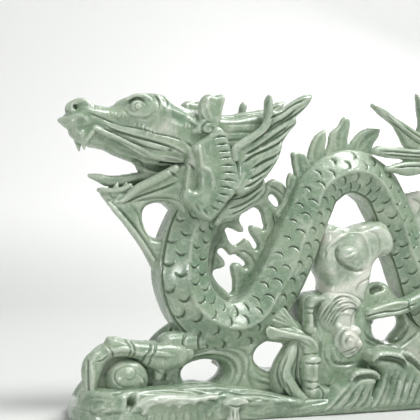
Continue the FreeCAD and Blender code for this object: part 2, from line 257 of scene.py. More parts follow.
def jade(slot, body, dark, pale, cream, pale_share):
    """Serpentine jade: a cloudy green stone with paler flecks and cream patches, cut, sanded and waxed.

    Its cuts are painted dark, partly for the wax and dust they hold and partly as painted shade, its ridges
    carry a painted highlight, its hollows painted shade, and its skin keeps a faint grain.
    """
    stone = bpy.data.materials.new(f"carved_{slot}")
    stone["slot"] = slot
    stone.use_nodes = True
    tree = stone.node_tree
    shader = tree.nodes["Principled BSDF"]
    place = add(tree, "ShaderNodeTexCoord").outputs["Object"]

    def toned(under, value, start, full, strength, tone):
        """The colour under it, turned to another tone as a value goes from start to full."""
        share = add(
            tree, "ShaderNodeMapRange", Value=value, From_Min=start, From_Max=full, To_Max=strength
        )
        blend = add(tree, "ShaderNodeMix", {"data_type": "RGBA"}, _0=share.outputs["Result"], _6=under)
        blend.inputs[7].default_value = srgb(tone)
        return blend.outputs[2]

    # Each cloud in the stone: its size in mm, the detail, roughness and warp of its pattern, the pattern
    # values where it starts and is full, how strong it is, and its colour.
    clouds = [
        (30, 5, 0.62, 0.8, 0.4, 0.6, 1.0, dark),
        (6, 6, 0.72, 0.8, 0.5, 0.68, 0.6, pale),
        (9, 6, 0.7, 0.6, 0.52, 0.7, 0.5, dark),
        (46, 4, 0.62, 0.9, 1 - pale_share, 1.12 - pale_share, 0.85, cream),
        (1.3, 3, 0.6, 0.0, 0.56, 0.75, 0.35, pale),
    ]
    colour = srgb(body)
    for size, detail, rough, warp, start, full, strength, tone in clouds:
        cloud = add(tree, "ShaderNodeTexNoise", Vector=place, Scale=1000 / size, Detail=detail)
        cloud.inputs["Roughness"].default_value = rough
        cloud.inputs["Distortion"].default_value = warp
        colour = toned(colour, cloud.outputs["Fac"], start, full, strength, tone)
    # Ridges painted pale as painted highlight, hollows painted darker as painted shade, and cuts painted
    # dark, partly for wax and dust and partly as painted shade: the mark left on the vertices, the values
    # where it starts and is full, how strong it is, and its colour.
    painted_light_and_wax = [
        ("bend", -0.015, -0.2, 0.75, pale),
        ("bend", 0.03, 0.3, 0.6, "#4E6347"),
        ("cut", 0.15, 0.8, 0.85, "#3A4C33"),
    ]
    for mark, start, full, strength, tone in painted_light_and_wax:
        left = add(tree, "ShaderNodeAttribute", {"attribute_name": mark}).outputs["Fac"]
        colour = toned(colour, left, start, full, strength, tone)
    # sanding grain of 0.7 mm over soft unevenness of 3.4 mm, and wax that shines unevenly every centimetre
    grain = add(
        tree, "ShaderNodeTexNoise", Vector=place, Scale=1000 / 0.7, Detail=3, Roughness=0.6,
        Distortion=0.0
    )
    uneven = add(
        tree, "ShaderNodeTexNoise", Vector=place, Scale=1000 / 3.4, Detail=3, Roughness=0.55,
        Distortion=0.5
    )
    height = add(tree, "ShaderNodeMath", {"operation": "MULTIPLY_ADD"}, _0=uneven.outputs["Fac"], _1=2.6)
    tree.links.new(grain.outputs["Fac"], height.inputs[2])
    relief = add(tree, "ShaderNodeBump", Strength=0.7, Distance=0.00022, Height=height.outputs[0])
    tree.links.new(relief.outputs["Normal"], shader.inputs["Normal"])
    wax = add(
        tree, "ShaderNodeTexNoise", Vector=place, Scale=1000 / 11, Detail=4, Roughness=0.6, Distortion=0.0
    )
    shine = add(
        tree, "ShaderNodeMapRange", Value=wax.outputs["Fac"], From_Min=0.3, From_Max=0.7, To_Min=0.2,
        To_Max=0.36
    )
    tree.links.new(shine.outputs["Result"], shader.inputs["Roughness"])
    tree.links.new(colour, shader.inputs["Base Color"])
    shader.inputs["IOR"].default_value = 1.56
    shader.inputs["Coat Weight"].default_value = 0.5
    shader.inputs["Coat Roughness"].default_value = 0.16
    return stone


green = jade("jade_green", "#90A188", "#6D866C", "#BDC6B5", "#CFD0C4", 0.38)

SLAB = [
    (-121.6, -16), (-117, -27), (-105, -33), (-60, -32.6), (-24, -33), (-10, -33.4), (50, -33.4),
    (104, -33)
]
SLAB += [
    (120, -28), (125, -14), (125, 14), (119, 30), (104, 36), (30, 35), (-40, 36), (-100, 35), (-112, 27),
    (-118, 10)
]
slab = weld("jade_slab", [slice_of(SLAB, 4.1, 4.1, 2.2, lying=True)], grain=1.0, polish=3)
FRONT_RIPPLES = [
    [(-121, 6), (-116, 7), (-110.5, 6.5), (-105.5, 7.6), (-101.5, 5.5)],
    [(-119, 3.6), (-113.5, 4.6), (-107, 5), (-101.6, 3)],
    [(-98, 6.6), (-94, 6.8), (-91, 5), (-91, 2)],
    [(-45, 8), (-39.5, 6.7), (-27.5, 3.8), (-15.5, 3), (-4, 4.5)],
    [(-45, 5.8), (-37, 4.4), (-27, 2), (-14, 1.4)],
    [(-45, 3.8), (-33.5, 1.5), (-15.5, 1), (0, 2.2), (9, 7)],
    [(-42, 7.2), (-30, 5.6), (-18, 5), (-6, 6.4), (4, 7.6)],
    [(10, 6.4), (22, 4.6), (36, 2), (48, 1.6)],
    [(30, 6), (44, 3.4), (58, 5), (74, 2.5), (92, 5.5), (112, 3)],
]
carve(slab, FRONT_RIPPLES, width=1.1, depth=0.7, taper=8, side=-1, wax_and_shade=0.35)
carve(
    slab, [[(-90 + 3.6 * k, 8.6), (-90.6 + 3.6 * k, 5), (-92 + 3.8 * k, 0.5)] for k in range(10)],
    width=1.2, depth=0.9, side=-1, wax_and_shade=0.4
)
BACK_RIPPLES = [
    [
        (x, 3.5 + 1.8 * math.sin(x / 9 + shift) + lift) for x in range(-112, 113, 8)
    ] for shift, lift in ((0, -1), (1.2, 1.4))
]
carve(slab, BACK_RIPPLES, width=1.5, depth=0.9, side=1, wax_and_shade=0.4)
TOP_RIPPLES = [
    [(x, y + 2.5 * math.sin(x / 11 + y)) for x in range(-100, 110, 9)] for y in range(-28, 31, 7)
]
carve(slab, TOP_RIPPLES, width=1.8, depth=0.8, seen=(0, 1), side=1, wax_and_shade=0.3)
settle(slab, "base_slab", green)

# ---------------------------------------------------------------- water terrace
# The step of still water at the nose end, left standing on the slab and sloping down to the middle. Flow
# lines run along its front and a drill has left a hole near its corner, painted dark inside as painted
# shade.

TERRACE = [
    (-119.5, -15), (-115, -27), (-104, -32.6), (-60, -32.2), (-28, -32.6), (-12, -33), (-3, -25),
    (-3, -11)
]
TERRACE += [(-20, -5), (-60, -4), (-112, -4), (-118, -9)]
terrace = weld("jade_terrace", [slice_of(TERRACE, 9.2, 7.7, 3.4, lying=True)], grain=0.6)
places = vertices_of(terrace)
fall = np.interp(places[:, 0], [-56, -40, -12], [1.0, 0.75, 0.12])
LOW_END = 7.5  # the terrace slopes down to just above this height
above = places[:, 2] - LOW_END
places[:, 2] = np.where(above > 0, LOW_END + above * fall, places[:, 2])
move_to(terrace, places)
FRONT_FLOW = [
    [(-92.5, 16), (-82.5, 15.8), (-77, 15.2), (-71, 13.8), (-65, 11), (-60, 9)],
    [(-79, 16.6), (-71.5, 16.2), (-66, 14.8), (-60, 12.4), (-55, 9.6)],
    [(-60, 15.6), (-52, 14.8), (-44, 12.4), (-34, 11.6), (-24, 9.6)],
    [(-56, 12.5), (-52, 14.4), (-46, 14.8), (-38, 13.4)],
    [(-117.6, 13.4), (-112, 14.4), (-106, 14)],
    [(-118, 11), (-112, 12.4), (-107, 11.6)],
    [(-46, 8.6), (-36, 9.6), (-26, 8.4)],
]
carve(terrace, FRONT_FLOW, width=0.7, depth=0.6, taper=6, side=-1, wax_and_shade=0.35)
carve(terrace, FRONT_RIPPLES, width=1.1, depth=0.8, taper=8, side=-1, wax_and_shade=0.4)
RUNNELS = [
    [
        (-116 + 3.4 * k, 6 + math.sin(k)), (-112 + 3.4 * k, 9.4 - math.sin(k)),
        (-106 + 3.6 * k, 10 + math.sin(2 * k))
    ]
    for k in range(3)
]
RUNNELS += [
    [(-52 + 9 * k, 12.4 - 0.9 * k), (-46 + 9 * k, 10.4 - 0.9 * k), (-38 + 9 * k, 10.8 - 1.2 * k)]
    for k in range(4)
]
carve(terrace, RUNNELS, width=0.9, depth=-0.5, taper=4, side=-1)
# the drilled hole, painted dark inside as painted shade
carve(
    terrace, [[(-97, 15), (-98.4, 12), (-99.8, 8.6)]], width=2.8, depth=3.6, taper=4, side=-1, wax_and_shade=0.75
)
carve(
    terrace, [[(-104, 15.4), (-101, 13.4), (-100.6, 9)], [(-96, 15.6), (-94.6, 13)]], width=1, depth=-0.5,
    side=-1
)
TOP_FLOW = [
    [(x, y + 1.6 * math.sin(x / 10 + y / 2)) for x in range(-112, -20, 9)] for y in range(-30, -5, 3)
]
carve(terrace, TOP_FLOW, width=0.9, depth=0.6, seen=(0, 1), side=1, wax_and_shade=0.3)
settle(terrace, "water_terrace", green)

# ---------------------------------------------------------------- shelf and spout
# A scalloped lip of water that hangs over fluted folds, and a mushroom-shaped spout of foam beside it,
# both left proud of the front wall.

light = jade("jade_pale", "#AAB6A2", "#8B9E87", "#CFD5C8", "#E0DED4", 0.52)
SHELF = [
    (-97, 9), (-96, 12), (-92.5, 14.4), (-88.5, 15.2), (-80, 15.4), (-72.5, 14.8), (-66, 13.6), (-58, 14),
    (-54.5, 12.6)
]
SHELF += [
    (-56.5, 10.6), (-60.4, 10.6), (-62.4, 9.6, 0), (-65, 10.2), (-67.5, 8.4, 0), (-70, 9.4), (-73.4, 8.2),
    (-75.4, 7.2, 0)
]
SHELF += [(-78, 9), (-80.6, 8.2, 0), (-83.5, 9.6), (-87.6, 9.2), (-90, 6.4), (-93.6, 5.4), (-94.6, 8.6)]
shelf = weld("jade_shelf", [slice_of(SHELF, -31.6, 3.8, 4.4)], grain=0.42)
SHELF_LINES = [
    [(-94, 11.4), (-89, 13), (-84.5, 11.6), (-80, 12.8), (-73, 12.4), (-66, 11.2)],
    [(-92, 9.6), (-88, 11), (-84, 10)],
    [(-78, 11), (-73, 10.6), (-68, 10.8)],
    [(-92.4, 8), (-91.6, 6)],
]
carve(shelf, SHELF_LINES, width=0.8, depth=-0.45, taper=5, side=-1)
settle(shelf, "water_shelf", light)

CAP = [
    (-53.5, 10.4), (-50, 12.4), (-46, 12.4), (-41.5, 10.6), (-40.5, 8.6), (-45, 7.2), (-45.4, 3),
    (-44.6, 0.4, 0)
]
CAP += [(-52.4, 0.4, 0), (-51.2, 3), (-51, 7.2), (-53.6, 8.4)]
spout = weld("jade_spout", [slice_of(CAP, -33, 2.7, 2.2)], grain=0.4)
carve(
    spout, [[(-52, 8.6), (-47, 7.6), (-42, 8.6)], [(-49.5, 6.5), (-49.3, 1)], [(-47.3, 6.5), (-47.2, 1)]],
    width=0.7, side=-1
)
settle(spout, "spout", light)

# ---------------------------------------------------------------- pierced rock under the chest
# The wall of rock between the paw and the breaking waves, pierced by two openings with rounded rims; its
# waist between them carries the bend of the body.

WALL = [
    (-86, 7, 0), (-88, 16), (-84, 24), (-80, 31), (-72, 35), (-58, 36), (-40, 38), (-20, 38), (-6, 40),
    (4, 44), (12, 34), (13, 7, 0)
]
LEFT_HOLE = [
    (-66, 20.6), (-64.6, 23.6), (-59, 26), (-50.4, 26.4), (-45.4, 24), (-45, 20.8), (-48, 17.6),
    (-52.2, 15.8), (-58, 17), (-64, 17.4)
]
MIDDLE_HOLE = [
    (-28, 27.4), (-26.4, 31), (-22, 33.8), (-15.3, 35), (-10.4, 32.6), (-9, 27), (-12.4, 22.6),
    (-19.4, 21.4), (-25.6, 23.4)
]
wall = weld("jade_wall", [slice_of(WALL, -5, 10, 6, [LEFT_HOLE, MIDDLE_HOLE])], grain=0.62, polish=4)
WALL_LINES = [
    [(-68, 24), (-60, 28.4), (-50, 29), (-42, 26), (-40, 20), (-44, 13)],
    [(-70, 28), (-60, 31), (-48, 32), (-38, 28), (-36, 20), (-40, 12)],
    [(-76, 32), (-66, 33.6), (-54, 34), (-40, 33), (-33, 28), (-33, 18), (-30, 10)],
    [(-30, 22), (-26, 18.4), (-18, 17.4), (-11, 19), (-6.6, 24)],
    [(-31, 17), (-24, 14.4), (-14, 14), (-6, 18)],
    [(-4, 38), (-5, 30), (-5.4, 22), (-2, 14)],
    [(0, 40), (-1, 30), (-1, 20), (2, 12)],
]
carve(wall, WALL_LINES, width=1.1, depth=0.8, taper=8, wax_and_shade=0.35)
# a deep gouge, painted dark partly for dust and partly as painted shade inside it
carve(wall, [[(-83, 21), (-79, 21.4), (-76, 19.4)]], width=2, depth=2.4, taper=2, side=-1, wax_and_shade=0.8)
settle(wall, "body_plinth", green)

# ---------------------------------------------------------------- rocks
# The core of rock behind the breaking waves, pierced under the hind leg, and the low rock under the rear.

CORE = [
    (-3, 7, 0), (-4, 24), (-3, 38), (-3, 48), (-1, 56), (4, 58.6), (14, 59.4), (26, 60), (36, 62),
    (44, 63.6), (51, 62)
]
CORE += [(57, 56), (61.4, 52), (62, 48.4), (64, 45), (68, 41), (73, 36.5), (79, 29), (80, 7, 0)]
UNDER_LEG = [
    (41.4, 38.2), (43.4, 42.4), (50, 44.4), (57.6, 44.2), (59, 40.6), (55.4, 36), (51.5, 32.2), (45, 33.6)
]
CORE_HALF = ([8, 25, 40, 60], [21, 19, 15.5, 10])
core = weld(
    "jade_core",
    [slice_of(
        CORE, 1, lambda a, b: np.interp(b, *CORE_HALF) * np.interp(a, [30, 44], [1, 0.5]), 7, [UNDER_LEG]
    )],
    grain=0.66, polish=4
)
CORE_LINES = [
    [(4, 50), (3.6, 42), (5, 34), (4, 24)],
    [(8, 34), (7.4, 27), (10, 20)],
    [(10.6, 30), (12, 24), (17, 22.6), (24, 23)],
    [(30, 40), (34, 35), (40, 32.6), (47, 30.4)],
    [(30, 33.6), (36, 31.6), (44, 29)],
    [(36, 44), (40, 40), (44, 36)],
    [(48, 31), (56, 33), (62, 40)],
    [(56, 29), (64, 34), (69, 38)],
    [(66, 24), (72, 29), (76, 32)],
]
carve(core, CORE_LINES, width=1.2, depth=1.0, taper=6, side=-1, wax_and_shade=0.45)
# a deep gouge, painted dark partly for dust and partly as painted shade inside it
carve(core, [[(39.4, 57.6), (43, 59.6), (48.6, 61)]], width=2.6, depth=2.6, taper=2, side=-1, wax_and_shade=0.9)
BACK_LINES = [[(6 + 7 * k, 12), (9 + 6.4 * k, 24), (8 + 5.4 * k, 38 - 0.6 * k)] for k in range(11)]
BACK_LINES += [
    [(2, 44), (8, 52), (18, 56.6), (30, 56), (38, 50)],
    [(8, 42), (14, 48), (22, 51), (31, 49.6), (35, 44)]
]
BACK_LINES += [[(15, 41), (20, 45), (27, 45.6), (30, 41.6), (26, 39.6)], [(42, 60), (50, 56), (57, 50)]]
carve(core, BACK_LINES, width=1.5, depth=1.2, side=1, wax_and_shade=0.4)
settle(core, "rock_core", green)

LOW_ROCK = [(58, 7, 0), (62, 16), (70, 22), (80, 26), (92, 28), (104, 26), (112, 18), (118, 7, 0)]
low_rock = weld("jade_low_rock", [slice_of(LOW_ROCK, 1, 26, 12)], grain=0.85)
ROCK_LINES = [[(64 + 7 * k, 9), (68 + 5.5 * k, 16), (74 + 4 * k, 25)] for k in range(8)]
carve(low_rock, ROCK_LINES, width=1.6, depth=1.2)
END_LINES = [[(-23 + 6.4 * k, 8), (-21 + 6 * k, 16), (-15 + 4.6 * k, 24)] for k in range(8)]
carve(low_rock, END_LINES, width=1.5, depth=1.2, seen=(1, 2), side=1, wax_and_shade=0.4)
settle(low_rock, "rock_right", green)

# ---------------------------------------------------------------- waves
# Breaking waves carved in front of and behind the rocks: a rolled crest of foam, and a fan of grooves
# that runs from under the crest down to the edge of the slab.


def wave(node, outline, middle, strands, crest, side):
    """One wave: a fan of grooves with finer cuts between them, under a raised crest beaded with foam."""
    piece = weld(f"jade_{node}", [slice_of(outline, middle, 8.4, 5)], grain=0.58)
    carve(piece, crest, width=2.2, depth=-1.5, taper=5, side=side)
    carve(piece, strands, width=1.5, depth=1.5, taper=6, side=side, wax_and_shade=0.45)
    between = [
        [((a + c) / 2, (b + d) / 2) for (a, b), (c, d) in zip(one, other)] for one,
        other in zip(strands, strands[1:])
    ]
    carve(piece, between, width=0.6, depth=0.6, taper=5, side=side, wax_and_shade=0.4)
    knobs = [smooth_line(line, step=2.4) for line in crest]
    dots = [[(x, z - 0.7), (x + 0.3, z + 0.7)] for knob in knobs for x, z in knob]
    carve(piece, dots, width=1.1, depth=-0.7, taper=0.5, side=side)
    # a cut under each crest, painted dark partly for dust and partly as painted shade under the overhang
    edge = [[(x, z - 2.2) for x, z in line] for line in crest]
    carve(piece, edge, width=1.7, depth=1.7, taper=4, side=side, wax_and_shade=0.6)
    settle(piece, node, green)


SMALL = [
    (-4, 1, 0), (0, 7), (6, 13), (12, 17), (15, 20.5), (21, 22), (27, 21), (30.5, 18), (28, 13), (27, 6),
    (28, 1, 0)
]
SMALL_FAN = [
    [(13.5, 14.5), (9, 10), (4, 5), (1, 2)],
    [(17, 14), (12, 7), (6.5, 1)],
    [(21, 14.5), (17, 6.5), (12, 1)],
    [(25.3, 14.5), (22, 7), (17, 1)],
    [(28, 14.5), (26, 7.5), (23, 1)],
]
wave(
    "wave_front_small", SMALL, -27, SMALL_FAN, [[(14, 17), (16, 19.6), (21, 20.6), (27, 19.6), (29, 17)]],
    -1
)

BIG = [
    (22, 1, 0), (26, 10), (30, 19), (26, 23.5), (24, 27), (26, 30.5), (33, 32.5), (41, 31.5), (48, 29),
    (53, 24)
]
BIG += [(58, 21), (66, 18), (74, 13), (81, 7), (82, 1, 0)]
BIG_FAN = [
    [(34, 21), (32.5, 13), (28.5, 4.5), (27, 1)],
    [(37, 21), (35.5, 13), (31, 3)],
    [(40.5, 20.5), (38, 11.5), (34, 2)],
    [(44.5, 19), (42, 10), (39, 3)],
    [(49, 18), (45.5, 8), (43, 2)],
    [(54, 17), (50, 9), (47, 2)],
    [(60, 16), (56, 9), (52, 2)],
    [(67, 14), (62, 8), (58, 2)],
    [(74, 11), (69, 6), (65, 2)],
]
BIG_CREST = [
    [(26, 26), (28, 28.4), (34, 28.8), (41, 26.5), (43, 23.4)],
    [(42, 30), (48, 26.5), (54, 21.5), (62, 18), (72, 13)]
]
wave("wave_front_big", BIG, -27, BIG_FAN, BIG_CREST, -1)

REAR = [
    (78, 1, 0), (80, 12), (85, 20), (91, 27), (98, 31), (106, 30), (111, 25), (108, 21), (112, 15),
    (119, 9), (121, 1, 0)
]
REAR_FAN = [[(92 + 4 * k, 24 - 1.6 * k), (88 + 5 * k, 12 - k), (83 + 6 * k, 2)] for k in range(6)]
wave("wave_front_tail", REAR, -27, REAR_FAN, [[(89, 25), (98, 29.5), (106, 28.5), (109, 24)]], -1)

BACK_WAVES = {  # left end, right end, crest height, crest place
    "wave_back_left": (-114, -62, 33, -84),
    "wave_back_middle": (-40, 5, 24, -26),
    "wave_back_right": (6, 66, 31, 42),
    "wave_back_tail": (66, 118, 31, 98),
}
for node, (left, right, top, at) in BACK_WAVES.items():
    wide = right - left
    outline = [
        (left, 1, 0), (left + 3, 9), (left + wide * 0.2, top * 0.55), (at - 9, top * 0.86), (at, top)
    ]
    outline += [
        (at + 8, top * 0.9), (at + 7, top * 0.72), (right - wide * 0.14, top * 0.5), (right - 2, 8),
        (right, 1, 0)
    ]
    fan = []
    for k in range(9):
        foot = left + 5 + k * (wide - 8) / 8
        fan.append([(at - 7 + 2.2 * k, top * 0.7), ((at + foot) / 2 + 2, top * 0.42), (foot, 2)])
    crest = [[(at - 12, top * 0.78), (at - 2, top * 0.92), (at + 5, top * 0.84), (at + 6, top * 0.74)]]
    wave(node, outline, 27, fan, crest, 1)

# ---------------------------------------------------------------- wave curls
# Two curled heads of spray in the paler stone, left standing on the front of the rock. The upper one is
# cut with fine lines like hair, the lower one with rings, and small lumps of foam lie round it.


def ball(centre, radii, tilt=0.0):
    """A rounded mass; tilt turns it about the axis across the carving, in degrees."""
    bpy.ops.mesh.primitive_uv_sphere_add(segments=40, ring_count=24, radius=1)
    mass = bpy.context.object
    mass.scale = radii
    mass.rotation_euler = (0, math.radians(tilt), 0)
    mass.location = centre
    bpy.ops.object.transform_apply(location=True, rotation=True, scale=True)
    return mass


UPPER = [
    (4.5, 44), (5.5, 52), (11, 58.5), (20, 58.8), (26, 57.4), (30, 54.5), (30, 50.5), (27.5, 47),
    (27.5, 41)
]
UPPER += [(22, 37), (13, 36), (7, 39)]
LOWER = [
    (12, 36), (12.5, 41.5), (17, 43.8), (24, 41.4), (28.4, 36), (27.4, 29.6), (25, 26), (18, 25),
    (13.6, 28.5)
]
FOAM = [(25, 39, 3.4), (25.6, 32.4, 3.6), (20, 28.4, 3.4), (15.6, 41, 3)]
curl_masses = [slice_of(UPPER, -9.4, 7.4, 8), slice_of(LOWER, -12.4, 7.4, 8)]
curl_masses += [ball((x, -15.6, z), (r, 3, r * 0.8), 35) for x, z, r in FOAM]
curls = weld("jade_curls", curl_masses, grain=0.45, polish=5)
UPPER_RINGS = [
    [(10, 52.6), (14, 56.4), (18, 57.4), (24, 56.6), (28, 54), (29.4, 51)],
    [(5.6, 45), (8, 50.6), (12.5, 54), (17.5, 55), (23, 54), (28, 50.4)],
    [(7.6, 43), (10, 48), (14.5, 51.2), (19.5, 52), (24, 51.4), (27, 49.6)],
    [(11, 41), (12.6, 45.4), (16, 48), (20, 48.4), (23.4, 47)],
]
LOWER_RINGS = [
    [(13.6, 30.6), (13.4, 35), (15.4, 39.6), (19.6, 41), (24, 39)],
    [(17, 31), (16.6, 35), (19, 37.6), (22.6, 36), (23.4, 32)],
    [(19.4, 32.4), (19.6, 34.8), (21.4, 33.6)],
    [(14, 28.6), (18, 26.6), (23, 27.4), (26.6, 30.6), (27, 35)],
]
carve(curls, UPPER_RINGS + LOWER_RINGS, width=0.8, depth=-0.6, side=-1)
HAIR = [
    [
        (5.4 + 1.5 * k, 44.6 - k), (8.6 + 1.3 * k, 50 - 1.1 * k), (14 + k, 55.6 - 1.5 * k),
        (21 + 0.5 * k, 56.6 - 1.5 * k), (27.4, 52.6 - 0.9 * k)
    ]
    for k in range(5)
]
carve(curls, HAIR, width=0.6, depth=0.8, side=-1, wax_and_shade=0.45)
CURL_LINES = [
    [(28.8, 50.6), (25.6, 49), (22.8, 45.6), (22.6, 42)],
    [(15, 31), (15, 35.6), (17, 39), (21, 39.6)],
    [(18.4, 31), (18, 34.4), (20.4, 36)],
    [(16, 28), (20, 29.4), (24.4, 31)],
]
carve(curls, CURL_LINES, width=0.6, depth=0.8, side=-1, wax_and_shade=0.5)
settle(curls, "wave_curls", light)

# ---------------------------------------------------------------- cloud boss and its knob
# A block of cloud in the paler stone inside the arch of the body, with a raised disc that has a ridge
# round its edge and a curl cut into it, and a round knob in the middle.

BLOCK = [
    (9, 84), (11, 92), (17, 94), (24.5, 91.6), (33, 94), (43, 95), (50, 90), (52, 81), (48.6, 76.6),
    (44, 76)
]
BLOCK += [
    (40, 72), (38.6, 66), (37, 60), (35.5, 56), (34, 52), (22, 54), (11.5, 56), (11, 64), (8, 70), (7, 76)
]
boss_masses = [
    slice_of(BLOCK, -2, 10.4, 5.5), ball((24.6, -9.6, 78.6), (10.6, 4.2, 10.4)),
    ball((42, -6, 86), (8, 6, 9), 20)
]
boss = weld("jade_boss", boss_masses, grain=0.5, polish=6)
DISC_EDGE = [[
    (11.4, 75), (11.6, 80), (13, 82.6), (16, 85.4), (20, 87.6), (24, 89.2), (30, 88.6), (33, 85),
    (35, 79), (34.6, 73), (31.6, 70)
]]
carve(boss, DISC_EDGE, width=1.2, depth=-0.8, taper=8, side=-1)
carve(
    boss, [[(17, 82), (16.2, 77.6), (18.4, 74), (23, 71), (28.6, 69.4), (32.6, 70.6)]], width=1.3,
    depth=1.2, side=-1, wax_and_shade=0.35
)
carve(
    boss, [[(9.6, 76.5), (12, 81), (15, 84)], [(34, 90), (39, 88), (41, 82), (39.6, 76)]], width=0.7,
    depth=0.5, side=-1, wax_and_shade=0.3
)
carve(boss, [[(38, 66), (32.6, 64.4), (28.6, 62), (27.4, 57)]], width=0.9, depth=0.7, side=-1, wax_and_shade=0.3)
carve(boss, [[(10.6, 90), (18, 92), (28, 90.6), (38, 92.6)]], width=1.4, depth=0.6, side=-1, wax_and_shade=0.3)
carve(
    boss, [[(8, 84), (16, 90), (30, 91)], [(14, 60), (24, 62), (36, 66)], [(38, 74), (47, 84)]], width=1,
    side=1
)
settle(boss, "cloud_boss", light)

knob = weld("jade_knob", [ball((22, -13.4, 78.2), (5.4, 4, 4.3), -8)], grain=0.35)
carve(knob, [[(18.4, 76.4), (21.4, 77.4), (25, 79)]], width=0.9, depth=-0.5, taper=2, side=-1)
settle(knob, "cloud_knob", light)

# ---------------------------------------------------------------- serpent body
# The long body runs down the neck, round the chest, over the hump and down to the rear, and the tail
# climbs behind it. Each length is ground to a soft ridge along its side, left smooth along the belly
# and cut with rows of crescent scales that lie like roof tiles towards the tail.

ROUTE = [
    (-52, -1, 109, 12),
    (-55, -2, 101, 12.3),
    (-61, -3, 90, 12.8),
    (-65, -4, 76, 13.3),
    (-64, -5, 62, 13.6),
    (-56, -6, 49, 13.6),
    (-42, -6, 43, 13.3),
    (-27, -5, 48, 13.3),
    (-16, -4, 62, 13),
    (-6, -3, 80, 12.8),
    (2.5, -1, 98, 12.5),
    (11, 0, 113, 12.3),
    (26, 0, 121, 12),
    (43, 1, 115, 12),
    (54, 2, 98, 11.8),
    (63, 4, 79, 11.8),
    (70, 4, 60, 11.5),
    (77, 5, 45, 11.2),
    (88, 5, 36, 11),
    (101, 5, 39, 10.2),
    (109, 5, 51, 9.5),
    (112, 4, 75, 8.2),
    (107, 2, 100, 7.1),
    (96, 0, 120, 6.4),
    (87, -1, 130, 5.6),
    (76, -2, 134, 4.5),
    (64, -3, 134, 2.6),
]
BODY_ENDS = {  # the route point each length starts and stops at
    "neck": (0, 4),
    "chest_bend": (4, 8),
    "rising_body": (8, 10),
    "hump": (10, 14),
    "falling_body": (14, 17),
    "rear_bend": (17, 20),
    "tail": (20, 23),
    "tail_end": (23, 26),
}
BODY_RADIUS = 12.5  # of the thick part of the body, which the sizes below are for
PITCH = 9.0  # from one scale to the next in its row
SCALE_REACH = 2.8  # radius of a scale's arc
SCALE_DEPTH = 0.85
ARC_WIDTH = 0.58  # half the width of the cut
ROWS = [46, 72, 104, 130]  # how far round from the belly each row runs, in degrees
BELLY_LINE = 33  # degrees round from the belly
RIDGE = 89  # degrees round from the belly
# The flat faces round the body: degrees round from the belly, and their distance as a share of the radius.
BODY_FACES = [(0, 0.96), (64, 0.955), (120, 0.94), (180, 0.92), (240, 0.94), (296, 0.955)]
CREASE = 20  # the power that rounds one flat face into the next: higher is sharper
SKIN_STEP = 0.46  # length of a face of the skin
SAWN_RINGS = 9  # at each end of a length, where the stone runs on into the next


def scale_cuts(travel, turn):
    """How deep the scale arcs and the belly line are cut at each place of the body, from 0 to 1."""
    cut = np.zeros_like(travel)
    for row, angle in enumerate(ROWS):
        across = np.radians(turn - angle) * BODY_RADIUS
        for step in (0, 1):
            shift = 0.5 * (row % 2)
            tile = np.floor(travel / PITCH - shift) + step
            # a number from 0 to 1 that differs from scale to scale and is the same on each run
            chance = np.sin(tile * 12.9898 + row * 78.233) * 43758.5453
            chance = chance - np.floor(chance)
            away = travel - (tile + shift) * PITCH - (chance - 0.5) * 1.1
            side = across - (np.modf(chance * 7.3)[0] - 0.5) * 0.9
            far = np.hypot(away, side)
            angle_off = np.abs(np.arctan2(side, away)) / np.radians(50 + 20 * chance)
            width = ARC_WIDTH * np.clip(1.35 - angle_off, 0, 1)
            on_arc = np.clip(1 - (np.abs(far - SCALE_REACH - 0.4 * chance) / (width + 1e-6)) ** 2, 0, 1)
            arc = on_arc**1.2 * np.clip(1.6 - angle_off, 0, 1)
            cut = np.maximum(cut, np.where(angle_off < 1.2, arc, 0))
    belly = np.abs(np.radians(turn - BELLY_LINE) * BODY_RADIUS + 0.4 * np.sin(travel / 7))
    return np.maximum(cut, np.clip(1 - (belly / 0.75) ** 2, 0, 1))


